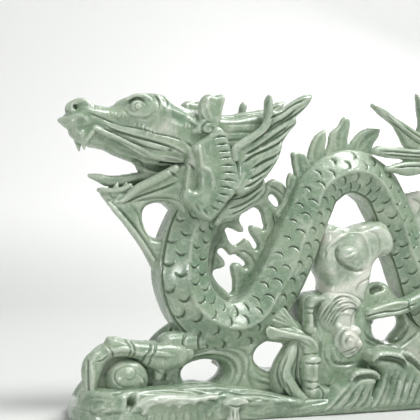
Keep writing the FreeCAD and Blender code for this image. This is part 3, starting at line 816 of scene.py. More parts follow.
run = smooth_line(ROUTE, size=4, step=SKIN_STEP)
steps = np.linalg.norm(np.diff(run[:, :3], axis=0), axis=1)
shrink = run[:, 3] / BODY_RADIUS
travel = np.concatenate([[0], np.cumsum(steps / ((shrink[1:] + shrink[:-1]) / 2))])
tangent = np.gradient(run[:, :3], axis=0)
tangent /= np.linalg.norm(tangent, axis=1)[:, None]
belly_way = np.stack([tangent[:, 2], 0 * tangent[:, 0], -tangent[:, 0]], axis=1)
belly_way -= tangent * (belly_way * tangent).sum(axis=1)[:, None]
belly_way /= np.linalg.norm(belly_way, axis=1)[:, None]
near_way = np.cross(tangent, belly_way)
near_way *= -np.sign(near_way[:, 1:2])
for node, (first, last) in BODY_ENDS.items():
    ends = [np.linalg.norm(run - np.array(ROUTE[k]), axis=1).argmin() for k in (first, last)]
    rings = slice(ends[0], ends[1] + 1)
    around = max(120, 4 * round(2 * math.pi * run[rings, 3].max() / SKIN_STEP / 4))
    turn = np.arange(around) * 360 / around
    reach = sum(
        (np.clip(np.cos(np.radians(turn - way)), 0, 1) / deep) ** CREASE for way, deep in BODY_FACES
    )
    reach = reach ** (-1 / CREASE)
    side = np.minimum(turn, 360 - turn)[None, :]
    cut = scale_cuts(travel[rings, None] + 0 * side, side + 0 * travel[rings, None])
    gone = travel[rings, None]
    radius = run[rings, 3, None] * reach[None, :] - SCALE_DEPTH * cut * shrink[rings, None]
    ridge = np.exp(-(((side - RIDGE - 3 * np.sin(gone / 5)) / 4.5) ** 2))
    unevenness = np.sin(gone / 3.1 + side / 17) * np.sin(side / 13 + gone / 9)
    radius += 0.55 * shrink[rings, None] * ridge + 0.14 * unevenness
    c, s = np.cos(np.radians(turn)), np.sin(np.radians(turn))
    ray = belly_way[rings, None] * c[None, :, None] + near_way[rings, None] * s[None, :, None]
    skin = run[rings, None, :3] + ray * radius[:, :, None]
    count = skin.shape[0]
    places = np.concatenate([skin.reshape(-1, 3), run[[ends[0], ends[1]], :3]])
    ring = np.arange(around)
    after = (ring + 1) % around
    faces = []
    for i in range(count - 1):
        a, b = i * around, (i + 1) * around
        faces.extend(zip(a + ring, a + after, b + after, b + ring))
    end_ring = (count - 1) * around
    faces.extend(zip(0 * ring + count * around, after, ring))
    faces.extend(zip(0 * ring + count * around + 1, end_ring + ring, end_ring + after))
    mesh = bpy.data.meshes.new(f"jade_{node}")
    mesh.from_pydata(places.tolist(), [], [tuple(int(v) for v in face) for face in faces])
    piece = bpy.data.objects.new(f"jade_{node}", mesh)
    bpy.context.collection.objects.link(piece)
    alone(piece)
    bpy.ops.object.mode_set(mode="EDIT")
    bpy.ops.mesh.select_all(action="SELECT")
    bpy.ops.mesh.normals_make_consistent(inside=False)
    bpy.ops.object.mode_set(mode="OBJECT")
    # the scale arcs and the belly line are painted dark, partly for wax and partly as painted shade in the
    # cuts
    darken(piece, np.concatenate([cut.ravel(), [0, 0]]))
    settle(piece, node, green)
    # the stone runs on from length to length, so the last rings of a length are no edge and get no painted
    # highlight or painted shade
    painted_light_marks = piece.data.attributes["bend"].data
    for i in (*range(SAWN_RINGS * around), *range((count - SAWN_RINGS) * around, count * around + 2)):
        painted_light_marks[i].value = 0
    bpy.ops.object.shade_smooth_by_angle(angle=math.radians(60))

# ---------------------------------------------------------------- skull
# The long upper head, hollowed under the lip so that the palate hangs inside it, with a blunt nose, fangs,
# rolled lips, cheek folds and brows, all cut alike on both sides.


def rod(route):
    """A round limb through (x, y, z, radius) points, with rounded ends."""
    line = smooth_line(route, size=4, step=1.0)
    caps = []
    for end, inner in ((line[0], line[1]), (line[-1], line[-2])):
        away = (end - inner)[:3]
        away /= np.linalg.norm(away)
        turns = np.radians([25, 50, 70, 86])
        caps.append([[*(end[:3] + away * end[3] * math.sin(t)), end[3] * math.cos(t)] for t in turns])
    line = np.concatenate([caps[0][::-1], line, caps[1]])
    curve = bpy.data.curves.new("rod", "CURVE")
    curve.dimensions = "3D"
    curve.bevel_depth = 1
    curve.bevel_resolution = 4
    curve.use_fill_caps = True
    spline = curve.splines.new("POLY")
    spline.points.add(len(line) - 1)
    for point, (x, y, z, radius) in zip(spline.points, line):
        point.co = (x, y, z, 1)
        point.radius = radius
    mass = bpy.data.objects.new("rod", curve)
    bpy.context.collection.objects.link(mass)
    alone(mass)
    bpy.ops.object.convert(target="MESH")
    return bpy.context.object


def both_sides(make, route):
    """The same rod on the near side and, mirrored, on the far side."""
    return [make([(x, y * side, z, radius) for x, y, z, radius in route]) for side in (1, -1)]


LIP = [
    (-109, 139.2), (-101, 135.8), (-95.6, 133.7), (-91.8, 131.5), (-87, 128.4), (-82, 126.2),
    (-75, 124.8), (-66, 124.6)
]
SKULL = [
    (-124, 143), (-122, 146), (-118, 149), (-117, 151.4), (-114, 153), (-111, 153.2), (-108.5, 151.6)
]
SKULL += [
    (-103, 150.4), (-99.5, 150.5), (-96.5, 152.3), (-93.5, 154.4), (-88.5, 156.3), (-81.5, 157.6),
    (-76, 157.4)
]
SKULL += [
    (-71.5, 155.8), (-67.5, 153.4), (-62.5, 151), (-56, 150), (-50, 144), (-46, 127), (-47, 110),
    (-54, 98)
]
SKULL += [(-64, 101), (-68, 108), (-67.5, 117), (-66, 124.6, 0)]
SKULL += [(x, z) for x, z in LIP[-2::-1]] + [(-114, 138), (-119.5, 138.4), (-123, 140.4)]
PALATE = [(-122, 141), (-120.2, 138.5), (-119.5, 135.8), (-116.3, 133.2), (-113.9, 131.6), (-108.8, 130)]
PALATE += [
    (-103.2, 129), (-97.5, 126.3), (-91.8, 124.3), (-87.4, 122.4), (-85.4, 119), (-80, 116), (-66, 115),
    (-60, 124)
]
PALATE += [(-66, 134), (-90, 142), (-110, 146), (-120, 145)]


def skull_half(x, z):
    """Half the width of the head: narrow at the nose, swelling at the brow and the cheek."""
    wide = np.interp(
        x, [-125, -118, -108, -98, -92, -84, -76, -66, -50],
        [5, 7.8, 8.6, 9.6, 11.4, 14, 15.6, 16.4, 15.5]
    )
    return wide - 1.6 * np.exp(-(((x + 103) / 7) ** 2) - ((z - 143) / 4) ** 2)


def skull_roll(x, z):
    """How far in from its outline the head is rounded: wide over the crown, tight at the lip."""
    lip = np.interp(x, [p[0] for p in LIP], [p[1] for p in LIP])
    return np.clip(2.6 + (z - lip) * 0.42, 2.6, 10)


skull_masses = [slice_of(SKULL, 0, skull_half, skull_roll), slice_of(PALATE, 0, 6.6, 3)]
NOSTRIL_RIM = [
    (-119, -4.4, 147, 1.5), (-119.4, -4, 149.4, 1.5), (-116, -4.6, 151.8, 1.7), (-112, -5.6, 150.6, 1.6),
    (-111, -6.8, 147.4, 1.2)
]
NOSE_LIP = [
    (-123.4, -2.2, 143, 1.5), (-120.4, -4.8, 143, 1.7), (-116.6, -6.6, 144.6, 1.4), (-113, -7.4, 143, 1.2)
]
LIP_ROLL = [
    (-108.6, -6.6, 138.8, 1.7), (-101, -7.2, 135.8, 1.8), (-95.6, -8, 133.8, 1.9),
    (-91.8, -9.2, 131.6, 1.9)
]
LIP_ROLL += [
    (-87, -10.4, 128.8, 2.1), (-82, -11.4, 126.8, 2.2), (-75, -12.2, 125.6, 2.2), (-67, -11.6, 125.2, 2.2)
]
FANG = [(-114.8, -5.2, 136.5, 2.2), (-114, -5.4, 132.5, 1.5), (-113.5, -5.4, 129, 0.6)]
FANG_FOLD = [(-110, -6.8, 137, 1.4), (-112, -6.4, 134, 1.3), (-113.4, -5.8, 131.6, 1)]
CHEEK_RIDGE = [
    (-80.5, -13.4, 135.2, 0.9), (-73.5, -14.2, 133.6, 1.1), (-67.5, -15, 131.6, 1.4),
    (-63.5, -15.4, 128, 1.7)
]
CHEEK_RIDGE += [(-61.4, -15.4, 122, 1.6), (-60.4, -15, 115, 1.2)]
BROW = [
    (-93.6, -8.4, 153.2, 0.9), (-88.5, -9.4, 155, 1.2), (-84, -10.4, 154.2, 1.2),
    (-81.6, -12, 150.6, 1.1), (-82.4, -12.8, 146.6, 0.9)
]
BROW_BACK = [(-79, -11, 155, 1), (-77.4, -12.4, 151.6, 1.2), (-78, -13.2, 147.4, 0.8)]
for route in (NOSTRIL_RIM, NOSE_LIP, LIP_ROLL, FANG, FANG_FOLD, CHEEK_RIDGE, BROW, BROW_BACK):
    skull_masses += both_sides(rod, route)
skull = weld("jade_skull", skull_masses, grain=0.4, polish=5)
HOLLOWS = [
    [(-117.4, 139.4), (-116, 141), (-113.4, 140.4)],
    [(-100, 144.6), (-93, 142.4), (-86, 140.4)],
    [(-76, 146), (-70, 144), (-64, 142)],
    [(-104, 132.6), (-97, 130), (-90, 127.4), (-84, 124.4)],
]
carve(skull, HOLLOWS, width=3.2, depth=0.9, taper=4, wax_and_shade=0)
carve(skull, [[(-80, 129.6), (-73, 127.6), (-68.6, 127.2)]], width=1.8, depth=0.7, wax_and_shade=0)
# under the upper lip a groove painted nearly black, as the painted shade of the open mouth
carve(
    skull, [[(-91, 123.6), (-84, 121.4), (-77, 120.4), (-70, 120.4)]], width=2.6, depth=1, taper=2,
    wax_and_shade=0.95
)
LIP_LINES = [
    [
        (-104.6, 140.8), (-99.5, 138), (-93, 135.8), (-87.5, 134.2), (-82.5, 132.9), (-76.5, 131.2),
        (-71.5, 129.4), (-66, 126.6)
    ],
]
carve(skull, LIP_LINES, width=0.75, depth=1.2, taper=8)
FINE_LINES = [
    [
        (-106, 139.4), (-100, 137), (-95.4, 134.8), (-92, 133), (-88.3, 131.4), (-82.6, 129.4),
        (-76, 128.2)
    ],
    [
        (-112, 146), (-107, 144.4), (-101.8, 142.4), (-94.8, 140.4), (-87.7, 139), (-80.5, 136.6),
        (-73.3, 135.2), (-67.5, 133.4)
    ],
    [(-67.5, 133.4), (-63, 130.6), (-59.8, 126), (-58.6, 120)],
    [(-92.4, 150), (-91.4, 152.4), (-88.6, 153.8), (-86, 152.6), (-85, 150)],
    [(-80.6, 156.2), (-79, 152), (-79.8, 148)],
    [(-76.4, 156), (-74.6, 152.4), (-75, 149)],
    [(-78, 125.2), (-72, 124.6), (-67.4, 123.4)],
    [(-108.4, 150.6), (-109, 148)],
    [(-66, 124.4), (-62.6, 120.6), (-60.4, 118.4)],
]
carve(skull, FINE_LINES, width=0.62, depth=0.7, taper=4, wax_and_shade=0.65)
carve(
    skull, [[(-95.6, 148.4), (-93, 145.4), (-88.6, 144), (-84, 144.6), (-81.4, 147)]], width=1, depth=0.5,
    wax_and_shade=0.2
)
carve(skull, [[(-118.4, 148.6), (-117.4, 149.6)]], width=1.1, depth=2, taper=0.5)
carve(
    skull, [[(-77, 123.6), (-71, 123.4), (-67, 122.4)], [(-75, 129), (-72, 128.6)]], width=0.9, depth=1.4,
    taper=2
)
carve(skull, [[(-73.6, 122), (-70.6, 121.4), (-69.6, 118.6)]], width=1.6, depth=0.5, wax_and_shade=0.1)
BEADS = [
    [(x, z + 1.1), (x + 0.5, z - 0.9)] for x,
    z in ((-101 + 1.75 * k, 146.4 - 0.86 * k) for k in range(12))
]
BEADS += [[(-66 + 1.8 * k, 141.6 - 0.5 * k), (-66.6 + 1.8 * k, 139.4)] for k in range(5)]
carve(skull, BEADS, width=0.65, depth=-0.55, taper=1)
settle(skull, "skull", green)

# ---------------------------------------------------------------- eyes
# Round eyes left standing in their sockets, with a drilled ring that marks the pupil.

EYE = (-88.7, 149.6)
eyes = weld(
    "jade_eyes", [ball((EYE[0], 9.6 * side, EYE[1]), (3.5, 3.2, 3.3)) for side in (-1, 1)], grain=0.3,
    polish=2
)
RING = [(EYE[0] + 2 * math.cos(t), EYE[1] + 1.8 * math.sin(t)) for t in np.arange(0, 6.3, 0.45)]
carve(eyes, [RING], width=0.5, depth=0.3, taper=0.5, wax_and_shade=0.4)
settle(eyes, "eyes", green)

# ---------------------------------------------------------------- lower jaw, tongue and beard
# The dropped jaw with its rolled lip and small teeth, the tongue that lies in it, and the strand of beard
# that ties the chin to the neck and frames the opening behind it.

JAW = [
    (-105.4, 110.6), (-104.2, 107.2), (-101.6, 104), (-98.6, 100.6), (-92, 101), (-87, 103.2),
    (-80, 104.4)
]
JAW += [
    (-72, 104), (-63, 101), (-58, 108), (-60, 120), (-66, 124), (-73, 119), (-81, 115), (-87, 112.4),
    (-91, 110), (-96, 109.6), (-101, 110.2)
]
jaw_masses = [slice_of(
    JAW, 0, lambda a, b: np.interp(a, [-105, -98, -88, -75, -62], [3.6, 6.6, 8.6, 11.6, 14]), 3.2
)]
JAW_LIP = [
    (-98.6, -4.8, 103.6, 1.4), (-94.4, -6.4, 105, 1.8), (-90.6, -7.6, 108, 2.1), (-87.6, -8.4, 110.6, 2.3)
]
JAW_LIP += [(-82, -9.4, 113.4, 2.5), (-76, -10.6, 116.6, 2.5), (-70, -11.4, 120, 2.4)]
JAW_RIM = [
    (-104.4, -2.6, 110, 1.2), (-100.6, -4.8, 109.4, 1.4), (-96, -6, 109.8, 1.4), (-91.4, -7, 112, 1.2)
]
TOOTH = [(-98.4, -4.6, 109, 1.9), (-97.6, -5, 111.6, 1.3), (-97, -5, 113.6, 0.4)]
TOOTH_BACK = [(-93.8, -5.6, 110.4, 1.6), (-93.2, -5.8, 112.4, 1), (-92.8, -5.8, 114, 0.3)]
for route in (JAW_LIP, JAW_RIM, TOOTH, TOOTH_BACK):
    jaw_masses += both_sides(rod, route)
jaw = weld("jade_jaw", jaw_masses, grain=0.4)
JAW_LINES = [
    [(-95.6, 102.4), (-91.4, 104.6), (-86.4, 107), (-80, 109.4), (-74, 111.6), (-68.4, 114.2)],
    [(-74.8, 120), (-72, 117.8), (-67.6, 114.8)],
]
carve(jaw, JAW_LINES, width=0.7, depth=0.9, taper=6, wax_and_shade=0.75)
carve(
    jaw, [[(-101.6, 108.4), (-99.4, 106), (-97.4, 107.4)], [(-103.4, 108), (-100.6, 104.6)]], width=0.8,
    depth=0.6, wax_and_shade=0.4
)
settle(jaw, "lower_jaw", green)

TONGUE = [
    (-111, 117), (-107, 118), (-99, 117.2), (-94, 117.6), (-86, 119), (-74, 121), (-70, 117), (-80, 114.4)
]
TONGUE += [(-87, 113.6), (-94, 111.6), (-101, 111.4), (-106.6, 114)]
tongue = weld(
    "jade_tongue",
    [slice_of(TONGUE, 0, lambda a, b: np.interp(a, [-111, -104, -94, -76], [1.5, 3.6, 5, 5.6]), 2.2)],
    grain=0.4,
)
carve(tongue, [[(-106, 0.2), (-96, -0.2), (-80, 0)]], width=1, depth=0.7, seen=(0, 1), side=1)
settle(tongue, "tongue", green)

BEARD = [
    (-104, 107.4), (-101.5, 104), (-99, 99.6), (-94.3, 94.4), (-89.6, 88.4), (-84, 80.6), (-79, 71.6),
    (-74, 64)
]
BEARD += [(-66, 64), (-62, 84), (-60, 98), (-64, 106), (-74, 108), (-86, 107), (-95, 106)]
CHIN_HOLE = [
    (-84.2, 98.4), (-83.2, 101), (-80.4, 102.8), (-75.6, 103.4), (-72, 102.4), (-69.6, 99.6), (-69.2, 96)
]
CHIN_HOLE += [(-70.6, 92.4), (-72.6, 89.4), (-76, 87.2), (-80.6, 88), (-83, 91.6)]
beard_masses = [slice_of(
    BEARD, -2, lambda a, b: np.interp(a, [-104, -95, -80, -66], [3, 5.6, 7.4, 10]), 4.4, [CHIN_HOLE]
)]
STRAND = [
    (-101.4, -5, 103.6, 1), (-97, -6.4, 98.4, 1.4), (-92, -7.6, 92.4, 1.5), (-86, -8.6, 84.6, 1.4),
    (-80, -9.4, 76, 1)
]
beard_masses.append(rod(STRAND))
beard = weld("jade_beard", beard_masses, grain=0.45)
BEARD_LINES = [
    [(-97.6, 101.6), (-92.6, 96), (-88, 90), (-83, 82.6), (-78, 74.6)],
    [(-92, 103), (-87.6, 98), (-85.6, 92), (-81, 85)]
]
carve(beard, BEARD_LINES, width=0.6, depth=0.6, taper=6, wax_and_shade=0.4)
settle(beard, "chin_beard", green)

# ---------------------------------------------------------------- mane
# Flat locks left standing off both sides of the head: a ruff cut with short slots, a wing of feathered
# locks behind it, a lower lock, and a square-topped horn; strands run back over the crown between them.

RUFF = [
    (-51, 141), (-56, 136.6), (-61, 133), (-64, 130), (-62.4, 126), (-61.4, 121), (-60.6, 115), (-62, 110)
]
RUFF += [(-66, 111), (-69.6, 106.4), (-64.4, 100), (-59, 95.4), (-54.4, 94.4), (-50, 98), (-45.4, 103.6)]
RUFF += [
    (-41.6, 107.6), (-38.6, 113.6), (-39.6, 119), (-41, 124.6), (-43, 129), (-44.4, 133), (-46, 137.4)
]
RUFF_RIDGE = [[(-61, 131.4), (-60, 126), (-59, 121), (-55.4, 118.6), (-53.6, 114), (-54.4, 109)]]
RUFF_SLOTS = [
    [(-54, 134.4), (-50, 135.6), (-46, 135.4)],
    [(-52.6, 131.2), (-49, 132), (-45.4, 132.2)],
    [(-51.4, 128), (-48, 128.6), (-44.4, 128.6)],
    [(-50.6, 124.8), (-47, 125.6), (-43.4, 125.8)],
    [(-49.8, 121.4), (-46, 122), (-42.4, 121.6)],
    [(-49.4, 118), (-45.6, 118.4), (-41.6, 117.8)],
    [(-49.8, 114.8), (-46, 114.8), (-41.4, 114)],
    [(-50.4, 111.6), (-46.6, 111.2), (-42.6, 110.2)],
    [(-51.8, 108.4), (-48.4, 107.8), (-45, 107)],
    [(-53.4, 105.2), (-50.4, 104.2), (-47.4, 103.4)],
    [(-55.6, 102.4), (-53, 101), (-50.4, 100)],
    [(-59, 101.4), (-57.2, 98.8), (-56, 97)],
    [(-63, 103.6), (-61.4, 101), (-60.4, 99)],
]
WING = [
    (-41.5, 124), (-43.4, 127.4), (-42.4, 131), (-38, 134.6), (-32.6, 137.8), (-28.2, 141), (-26.4, 146),
    (-26, 151)
]
WING += [
    (-25.4, 155.6), (-23.2, 158, 0), (-21.4, 155), (-21.6, 149.8), (-11, 154.6), (-5.5, 157.6),
    (0.6, 158.8, 0), (-0.6, 155)
]
WING += [
    (-4.4, 150.4), (-9, 146.4, 0), (-8.6, 143.6), (-12, 139.4), (-16, 134, 0), (-17.2, 128.4),
    (-20.4, 122.2), (-25.4, 116)
]
WING += [(-32.4, 110), (-38.6, 107), (-42.6, 110), (-41.2, 117.4)]
WING_LINES = [
    [(-34, 132.6), (-27.6, 137), (-19.4, 142), (-9.4, 147.8), (-4, 151.6)],
    [(-31, 130), (-24.8, 133.4), (-16.6, 138.2), (-10.4, 143)],
    [(-38.8, 122.4), (-33, 126.6), (-24.8, 130.2), (-18.8, 133.4), (-13, 138)],
    [(-34, 119.8), (-27.6, 123.8), (-19.8, 127.4), (-16.6, 130.4)],
    [(-35.6, 114.6), (-27.6, 119), (-22, 123)],
    [(-27.6, 137.4), (-22, 142), (-16.4, 145), (-10, 150)],
    [(-37.6, 126.8), (-31, 130.4), (-23.4, 135.4), (-14, 141.6)],
    [(-24.6, 145), (-19.4, 147.4), (-12, 152.4), (-5, 155.4)],
    [(-38, 110.8), (-32, 113.6), (-26.4, 117.4)],
]
WING_RIDGE = [
    (-42, -19.5, 125.4, 1.8), (-42.4, -19.8, 129, 2), (-38, -20, 132.8, 2.2), (-32.6, -20.2, 136, 2.2),
    (-28, -20.4, 139.4, 2.2)
]
WING_RIDGE += [(-25, -20.2, 144.4, 2), (-24, -20, 150, 1.7), (-23.4, -19.6, 156, 0.8)]
LOCK = [
    (-50, 92.6), (-45, 94.6), (-41, 95.2), (-36, 98.6), (-30.8, 102.4), (-27, 105.4), (-23.6, 109.4),
    (-23.2, 113.6)
]
LOCK += [(-24, 116.4, 0), (-28.2, 113.6), (-35.2, 110), (-40, 108), (-45, 104), (-50, 99)]
LOCK_LINES = [
    [(-42, 105.6), (-36, 107), (-31, 109.6), (-26, 113)],
    [(-45, 100.6), (-38, 102.6), (-32, 105.6), (-26, 110.6)], [(-44, 97.4), (-36.4, 100.4), (-30, 104.4)]
]
HORN = [
    (-60.4, 143), (-60, 150), (-57.4, 155.4), (-54.4, 156.6), (-51.4, 156), (-47.4, 156.8),
    (-45.8, 155.6), (-47, 151)
]
HORN += [
    (-48.2, 146.4), (-48.6, 142.4), (-50, 138.4), (-54, 136), (-58, 136.4), (-63.8, 137.6), (-62.4, 141),
    (-64.8, 143.6)
]
HORN_LINES = [
    [
        (-53, 142), (-56, 142.4), (-58.6, 140.4), (-58.2, 137.6), (-55.4, 136.8), (-53, 138),
        (-53.4, 140), (-55.6, 140)
    ],
    [(-60, 148), (-58.6, 145), (-56.6, 143)],
]


def locks(node, outline, middle, half, cuts, ridges=(), extra=(), width=0.65, depth=0.9, wax_and_shade=0.8):
    """A pair of locks, the far one the mirror of the near one."""
    near = weld(
        f"jade_{node}_near", [slice_of(outline, middle, half, 3)] + [rod(route) for route in extra],
        grain=0.42
    )
    carve(near, ridges, width=1.1, depth=-0.6)
    carve(near, cuts, width=width, depth=depth, taper=4, wax_and_shade=wax_and_shade)
    far = near.copy()
    far.data = near.data.copy()
    far.name = f"jade_{node}_far"
    bpy.context.collection.objects.link(far)
    move_to(far, vertices_of(near) * [1, -1, 1])
    far.data.flip_normals()
    settle(near, f"{node}_near", green)
    settle(far, f"{node}_far", green)


locks("ruff", RUFF, -16.4, 4, RUFF_SLOTS, RUFF_RIDGE, width=0.6, depth=1.1)
locks("wing_lock", WING, -17, 3.4, WING_LINES, extra=[WING_RIDGE], width=0.85, depth=1.2)
locks("lower_lock", LOCK, -12.4, 3, LOCK_LINES)
locks(
    "horn", HORN, -15.4, 3.4, HORN_LINES, [
        [(-47.4, 155.6), (-48.8, 149), (-49.6, 143)], [(-56, 154.6), (-55.6, 149), (-54, 144)]
    ], wax_and_shade=0.4
)

CROWN = [
    (-58, 120), (-40, 118), (-27, 124), (-20, 136), (-18.6, 146), (-19.6, 151), (-26, 150.6), (-33, 149.6)
]
CROWN += [(-37.6, 148.4), (-44.6, 148.2), (-52, 149)]
crown = weld("jade_crown", [slice_of(CROWN, 0, 13, 6)], grain=0.56)
CROWN_TOP = [[(-54, y), (-42, y + 0.8), (-30, y - 0.6), (-20, y)] for y in (-9, -6, -3, 0, 3, 6, 9)]
carve(crown, CROWN_TOP, width=1.1, depth=0.8, seen=(0, 1), side=1, wax_and_shade=0.4)
CROWN_SIDE = [
    [(-46, 146 - 4 * k), (-36, 146.6 - 4 * k), (-27, 148 - 4.6 * k), (-20, 149 - 5 * k)] for k in range(6)
]
carve(crown, CROWN_SIDE, width=0.9, depth=0.4, wax_and_shade=0.25)
settle(crown, "crown_mane", green)

# ---------------------------------------------------------------- pearl and front paw
# The pearl under the front paw, cut with a faint swirl and still backed by a web of stone, and the paw of
# long jointed toes that arches over it from the bent foreleg.

WEB = [(-112, 13, 0), (-111, 24), (-106, 31), (-96, 34), (-84, 33), (-76, 28), (-74, 13, 0)]
pearl = weld(
    "jade_pearl", [ball((-95.6, -16, 20.4), (10.4, 8.6, 9.6)), slice_of(WEB, -11, 4, 5)], grain=0.45
)
SWIRL = [
    (-99.5, 22), (-96, 21), (-93, 24), (-94.4, 26.8), (-98.5, 27.2), (-102.6, 24.6), (-103, 20.4),
    (-99, 17.6), (-93.6, 18)
]
carve(pearl, [SWIRL, [(-91.6, 24), (-89.4, 21), (-88, 17.6)]], width=0.6, depth=0.45, side=-1, wax_and_shade=0.3)
carve(
    pearl, [[(-97.6, 24.4), (-96.6, 23.8)], [(-91, 21.4), (-89.6, 18.4)], [(-94, 29.2), (-89, 26)]],
    width=1.6, depth=-0.6, side=-1
)
settle(pearl, "pearl", green)

ARM = [
    (-42, -8, 36, 6), (-50, -9, 36.4, 5.8), (-58, -10.6, 36.6, 5.6), (-66, -12.4, 36, 6),
    (-74, -14, 36, 6)
]
arm = weld("jade_arm", [rod(ARM), ball((-74, -13, 36), (6, 6.6, 5.6))], grain=0.45)
carve(
    arm,
    [
        [(-58, 41.6), (-60, 37), (-59, 32)], [(-53, 41.6), (-55, 37), (-54, 32)],
        [(-66, 41.4), (-68.6, 36.6), (-67, 31)]
    ],
    width=0.9, depth=0.8
)
settle(arm, "foreleg_front", green)

NEAR_TOE = [
    (-116.4, 14), (-117.6, 22), (-117.4, 28), (-115, 32.6), (-108, 36.6), (-105.4, 41, 0), (-100.5, 40.8),
    (-96.5, 39.6)
]
NEAR_TOE += [
    (-89, 38.4), (-82, 37.4), (-74, 37.4), (-66, 34), (-67, 26), (-73, 24), (-80, 23.4), (-85.5, 25),
    (-91.5, 29.2)
]
NEAR_TOE += [(-96.5, 30.6), (-101, 30.8), (-105, 29.4), (-108.4, 23), (-110, 18.6), (-110.4, 14)]
near_toe = weld("jade_near_toe", [slice_of(NEAR_TOE, -16.6, 5.4, 4.6)], grain=0.4)
FACETS = [
    [
        (-114, 30), (-108, 36), (-104, 34.4), (-100.5, 35), (-96, 34.6), (-91, 32.6), (-87.4, 32.8),
        (-82, 32.2), (-74, 31)
    ],
    [(-113.6, 28), (-113.4, 22), (-113.4, 16)],
    [(-104.6, 39.4), (-101, 39)],
]
carve(near_toe, FACETS, width=1.5, depth=-0.6, taper=5, side=-1)
JOINTS = [
    [(-106.8, 37), (-105, 35), (-103.4, 32), (-103, 30)],
    [(-98.6, 40.6), (-95.6, 36), (-95.6, 31)],
    [(-95.2, 39.6), (-93.4, 35), (-94, 30)],
    [(-84.6, 38), (-86, 34), (-88.4, 31.5), (-89.6, 27.4)],
    [(-82.4, 37.4), (-83.6, 33.4), (-85.4, 30.5), (-86.6, 26)],
    [(-115.4, 31.6), (-115.6, 24.6), (-115.2, 15)],
    [(-112, 29.6), (-108.6, 30.4), (-106, 32.6)],
]
carve(near_toe, JOINTS, width=0.6, depth=0.7, taper=2, side=-1, wax_and_shade=0.6)
settle(near_toe, "paw_front_near_toe", green)

FAR_TOE = [
    (-74, -10, 33, 4.2), (-88, -9, 33.8, 4), (-100, -8, 34.4, 4), (-107.6, -8, 31.4, 3.6),
    (-112, -9, 25, 3.2), (-112, -9, 16, 2.2)
]
far_toe = weld("jade_far_toe", [rod(FAR_TOE)], grain=0.4, polish=3)
carve(
    far_toe, [[(-107, 37), (-105.6, 33), (-107, 29)], [(-98, 39), (-97, 34), (-98, 30)]], width=0.7,
    depth=0.7, wax_and_shade=0.5
)
settle(far_toe, "paw_front_far_toe", green)

THUMB = [(-66, -14.6, 31, 4.4), (-74, -16.4, 29.4, 4), (-79, -17.4, 25.6, 3.2), (-80.6, -17.8, 21, 2)]
thumb = weld("jade_thumb", [rod(THUMB)], grain=0.4, polish=4)
carve(thumb, [[(-83, 32), (-77.6, 29.2), (-72, 29), (-66, 30)]], width=1.2, depth=-0.6, taper=4, side=-1)
carve(
    thumb, [[(-76, 33), (-77.4, 28.6), (-75, 25)], [(-80.6, 29), (-82.4, 25), (-79, 22)]], width=0.6,
    depth=0.6, side=-1, wax_and_shade=0.5
)
settle(thumb, "paw_front_thumb", green)

# ---------------------------------------------------------------- other legs and claws
# The side foreleg planted on the water's edge, the claw that grips the curl, the near hind leg stretched
# over the rock, and the two legs of the far side.

SIDE_ARM = [
    (-25, 43), (-18, 41.4), (-8, 40), (-1, 37.4), (2, 32), (1, 25), (-8, 25), (-8, 30), (-8.6, 34),
    (-16, 36), (-24, 37)
]
SIDE_ROOT = [(-24, -7, 41, 6), (-15, -12, 39, 5), (-7, -16.6, 37, 4)]
TUFT = [(-23, 44), (-22, 51), (-17, 54), (-9, 47), (-3, 40), (-14, 39)]
side_arm = weld(
    "jade_side_arm",
    [
        slice_of(SIDE_ARM, -18, lambda a, b: np.interp(a, [-25, -10], [0.6, 5.4]), 3), rod(SIDE_ROOT),
        slice_of(TUFT, -13, 3.2, 4)
    ],
    grain=0.42
)
RIBS = [[(-22.4 + 2.6 * k, 46.4 + 1.8 * k), (-14 + k, 43.6 + 0.9 * k), (-6, 40)] for k in range(4)]
carve(side_arm, RIBS, width=0.9, depth=-0.7, side=-1)
carve(
    side_arm, [[(-24, 42.6), (-12, 39), (-2, 35.6), (1.6, 30)]], width=1.2, depth=-0.5, taper=4, side=-1
)
carve(
    side_arm, [[(-9, 29.6), (-4.6, 28.8), (1, 29.4)], [(-20, 37.6), (-10, 35.6), (-4, 33)]], width=0.6,
    depth=0.7, side=-1, wax_and_shade=0.5
)
settle(side_arm, "foreleg_side", green)

SIDE_TOE = [
    (-8, 28), (1, 28), (0, 20), (1, 14.6), (5.4, 13), (8, 9.4), (6.6, 6.6), (2, 5.4), (-3.4, 5.4),
    (-7.6, 8), (-8.6, 15)
]
side_toe = weld("jade_side_toe", [slice_of(SIDE_TOE, -23.4, 5.2, 3.6)], grain=0.42)
TOE_RINGS = [
    [(-9, 25.6), (-4, 24.8), (2, 25.6)], [(-9.4, 17), (-4, 16), (2, 17)],
    [(-9, 13.6), (-5, 12.6), (-1, 13.4), (1, 10), (0, 6)]
]
carve(
    side_toe, TOE_RINGS + [[(3, 6), (4.6, 8.6), (5.6, 11.6)]], width=0.7, depth=0.8, taper=2, side=-1,
    wax_and_shade=0.6
)
carve(side_toe, [[(-3, 26), (-3.4, 18), (-4.4, 12), (-5, 8)]], width=2, depth=-0.5, taper=4, side=-1)
settle(side_toe, "paw_side_toe", green)

CLAW = [
    (-10, -18, 34, 3), (-14, -20.6, 27.6, 3.2), (-17, -22, 20.6, 3.4), (-14.4, -24, 13.4, 3.4),
    (-9.6, -26, 8, 2.8), (-4, -28, 5, 1.6)
]
CLAW_BED = [(-21, 8, 0), (-22, 18), (-18, 28), (-10, 36), (-4, 34), (-4, 8, 0)]
claw = weld("jade_claw", [rod(CLAW), slice_of(CLAW_BED, -15, 6, 5)], grain=0.42)
carve(
    claw, [[(-9, 34), (-9.5, 25.5), (-10, 17), (-7, 10), (-3, 6)]], width=0.9, depth=1, side=-1, wax_and_shade=0.6
)
carve(
    claw, [[(-18, 12), (-20, 20), (-16, 29)], [(-15, 9), (-18.6, 17)]], width=0.8, depth=0.7, side=-1,
    wax_and_shade=0.4
)
settle(claw, "paw_side_claw", green)

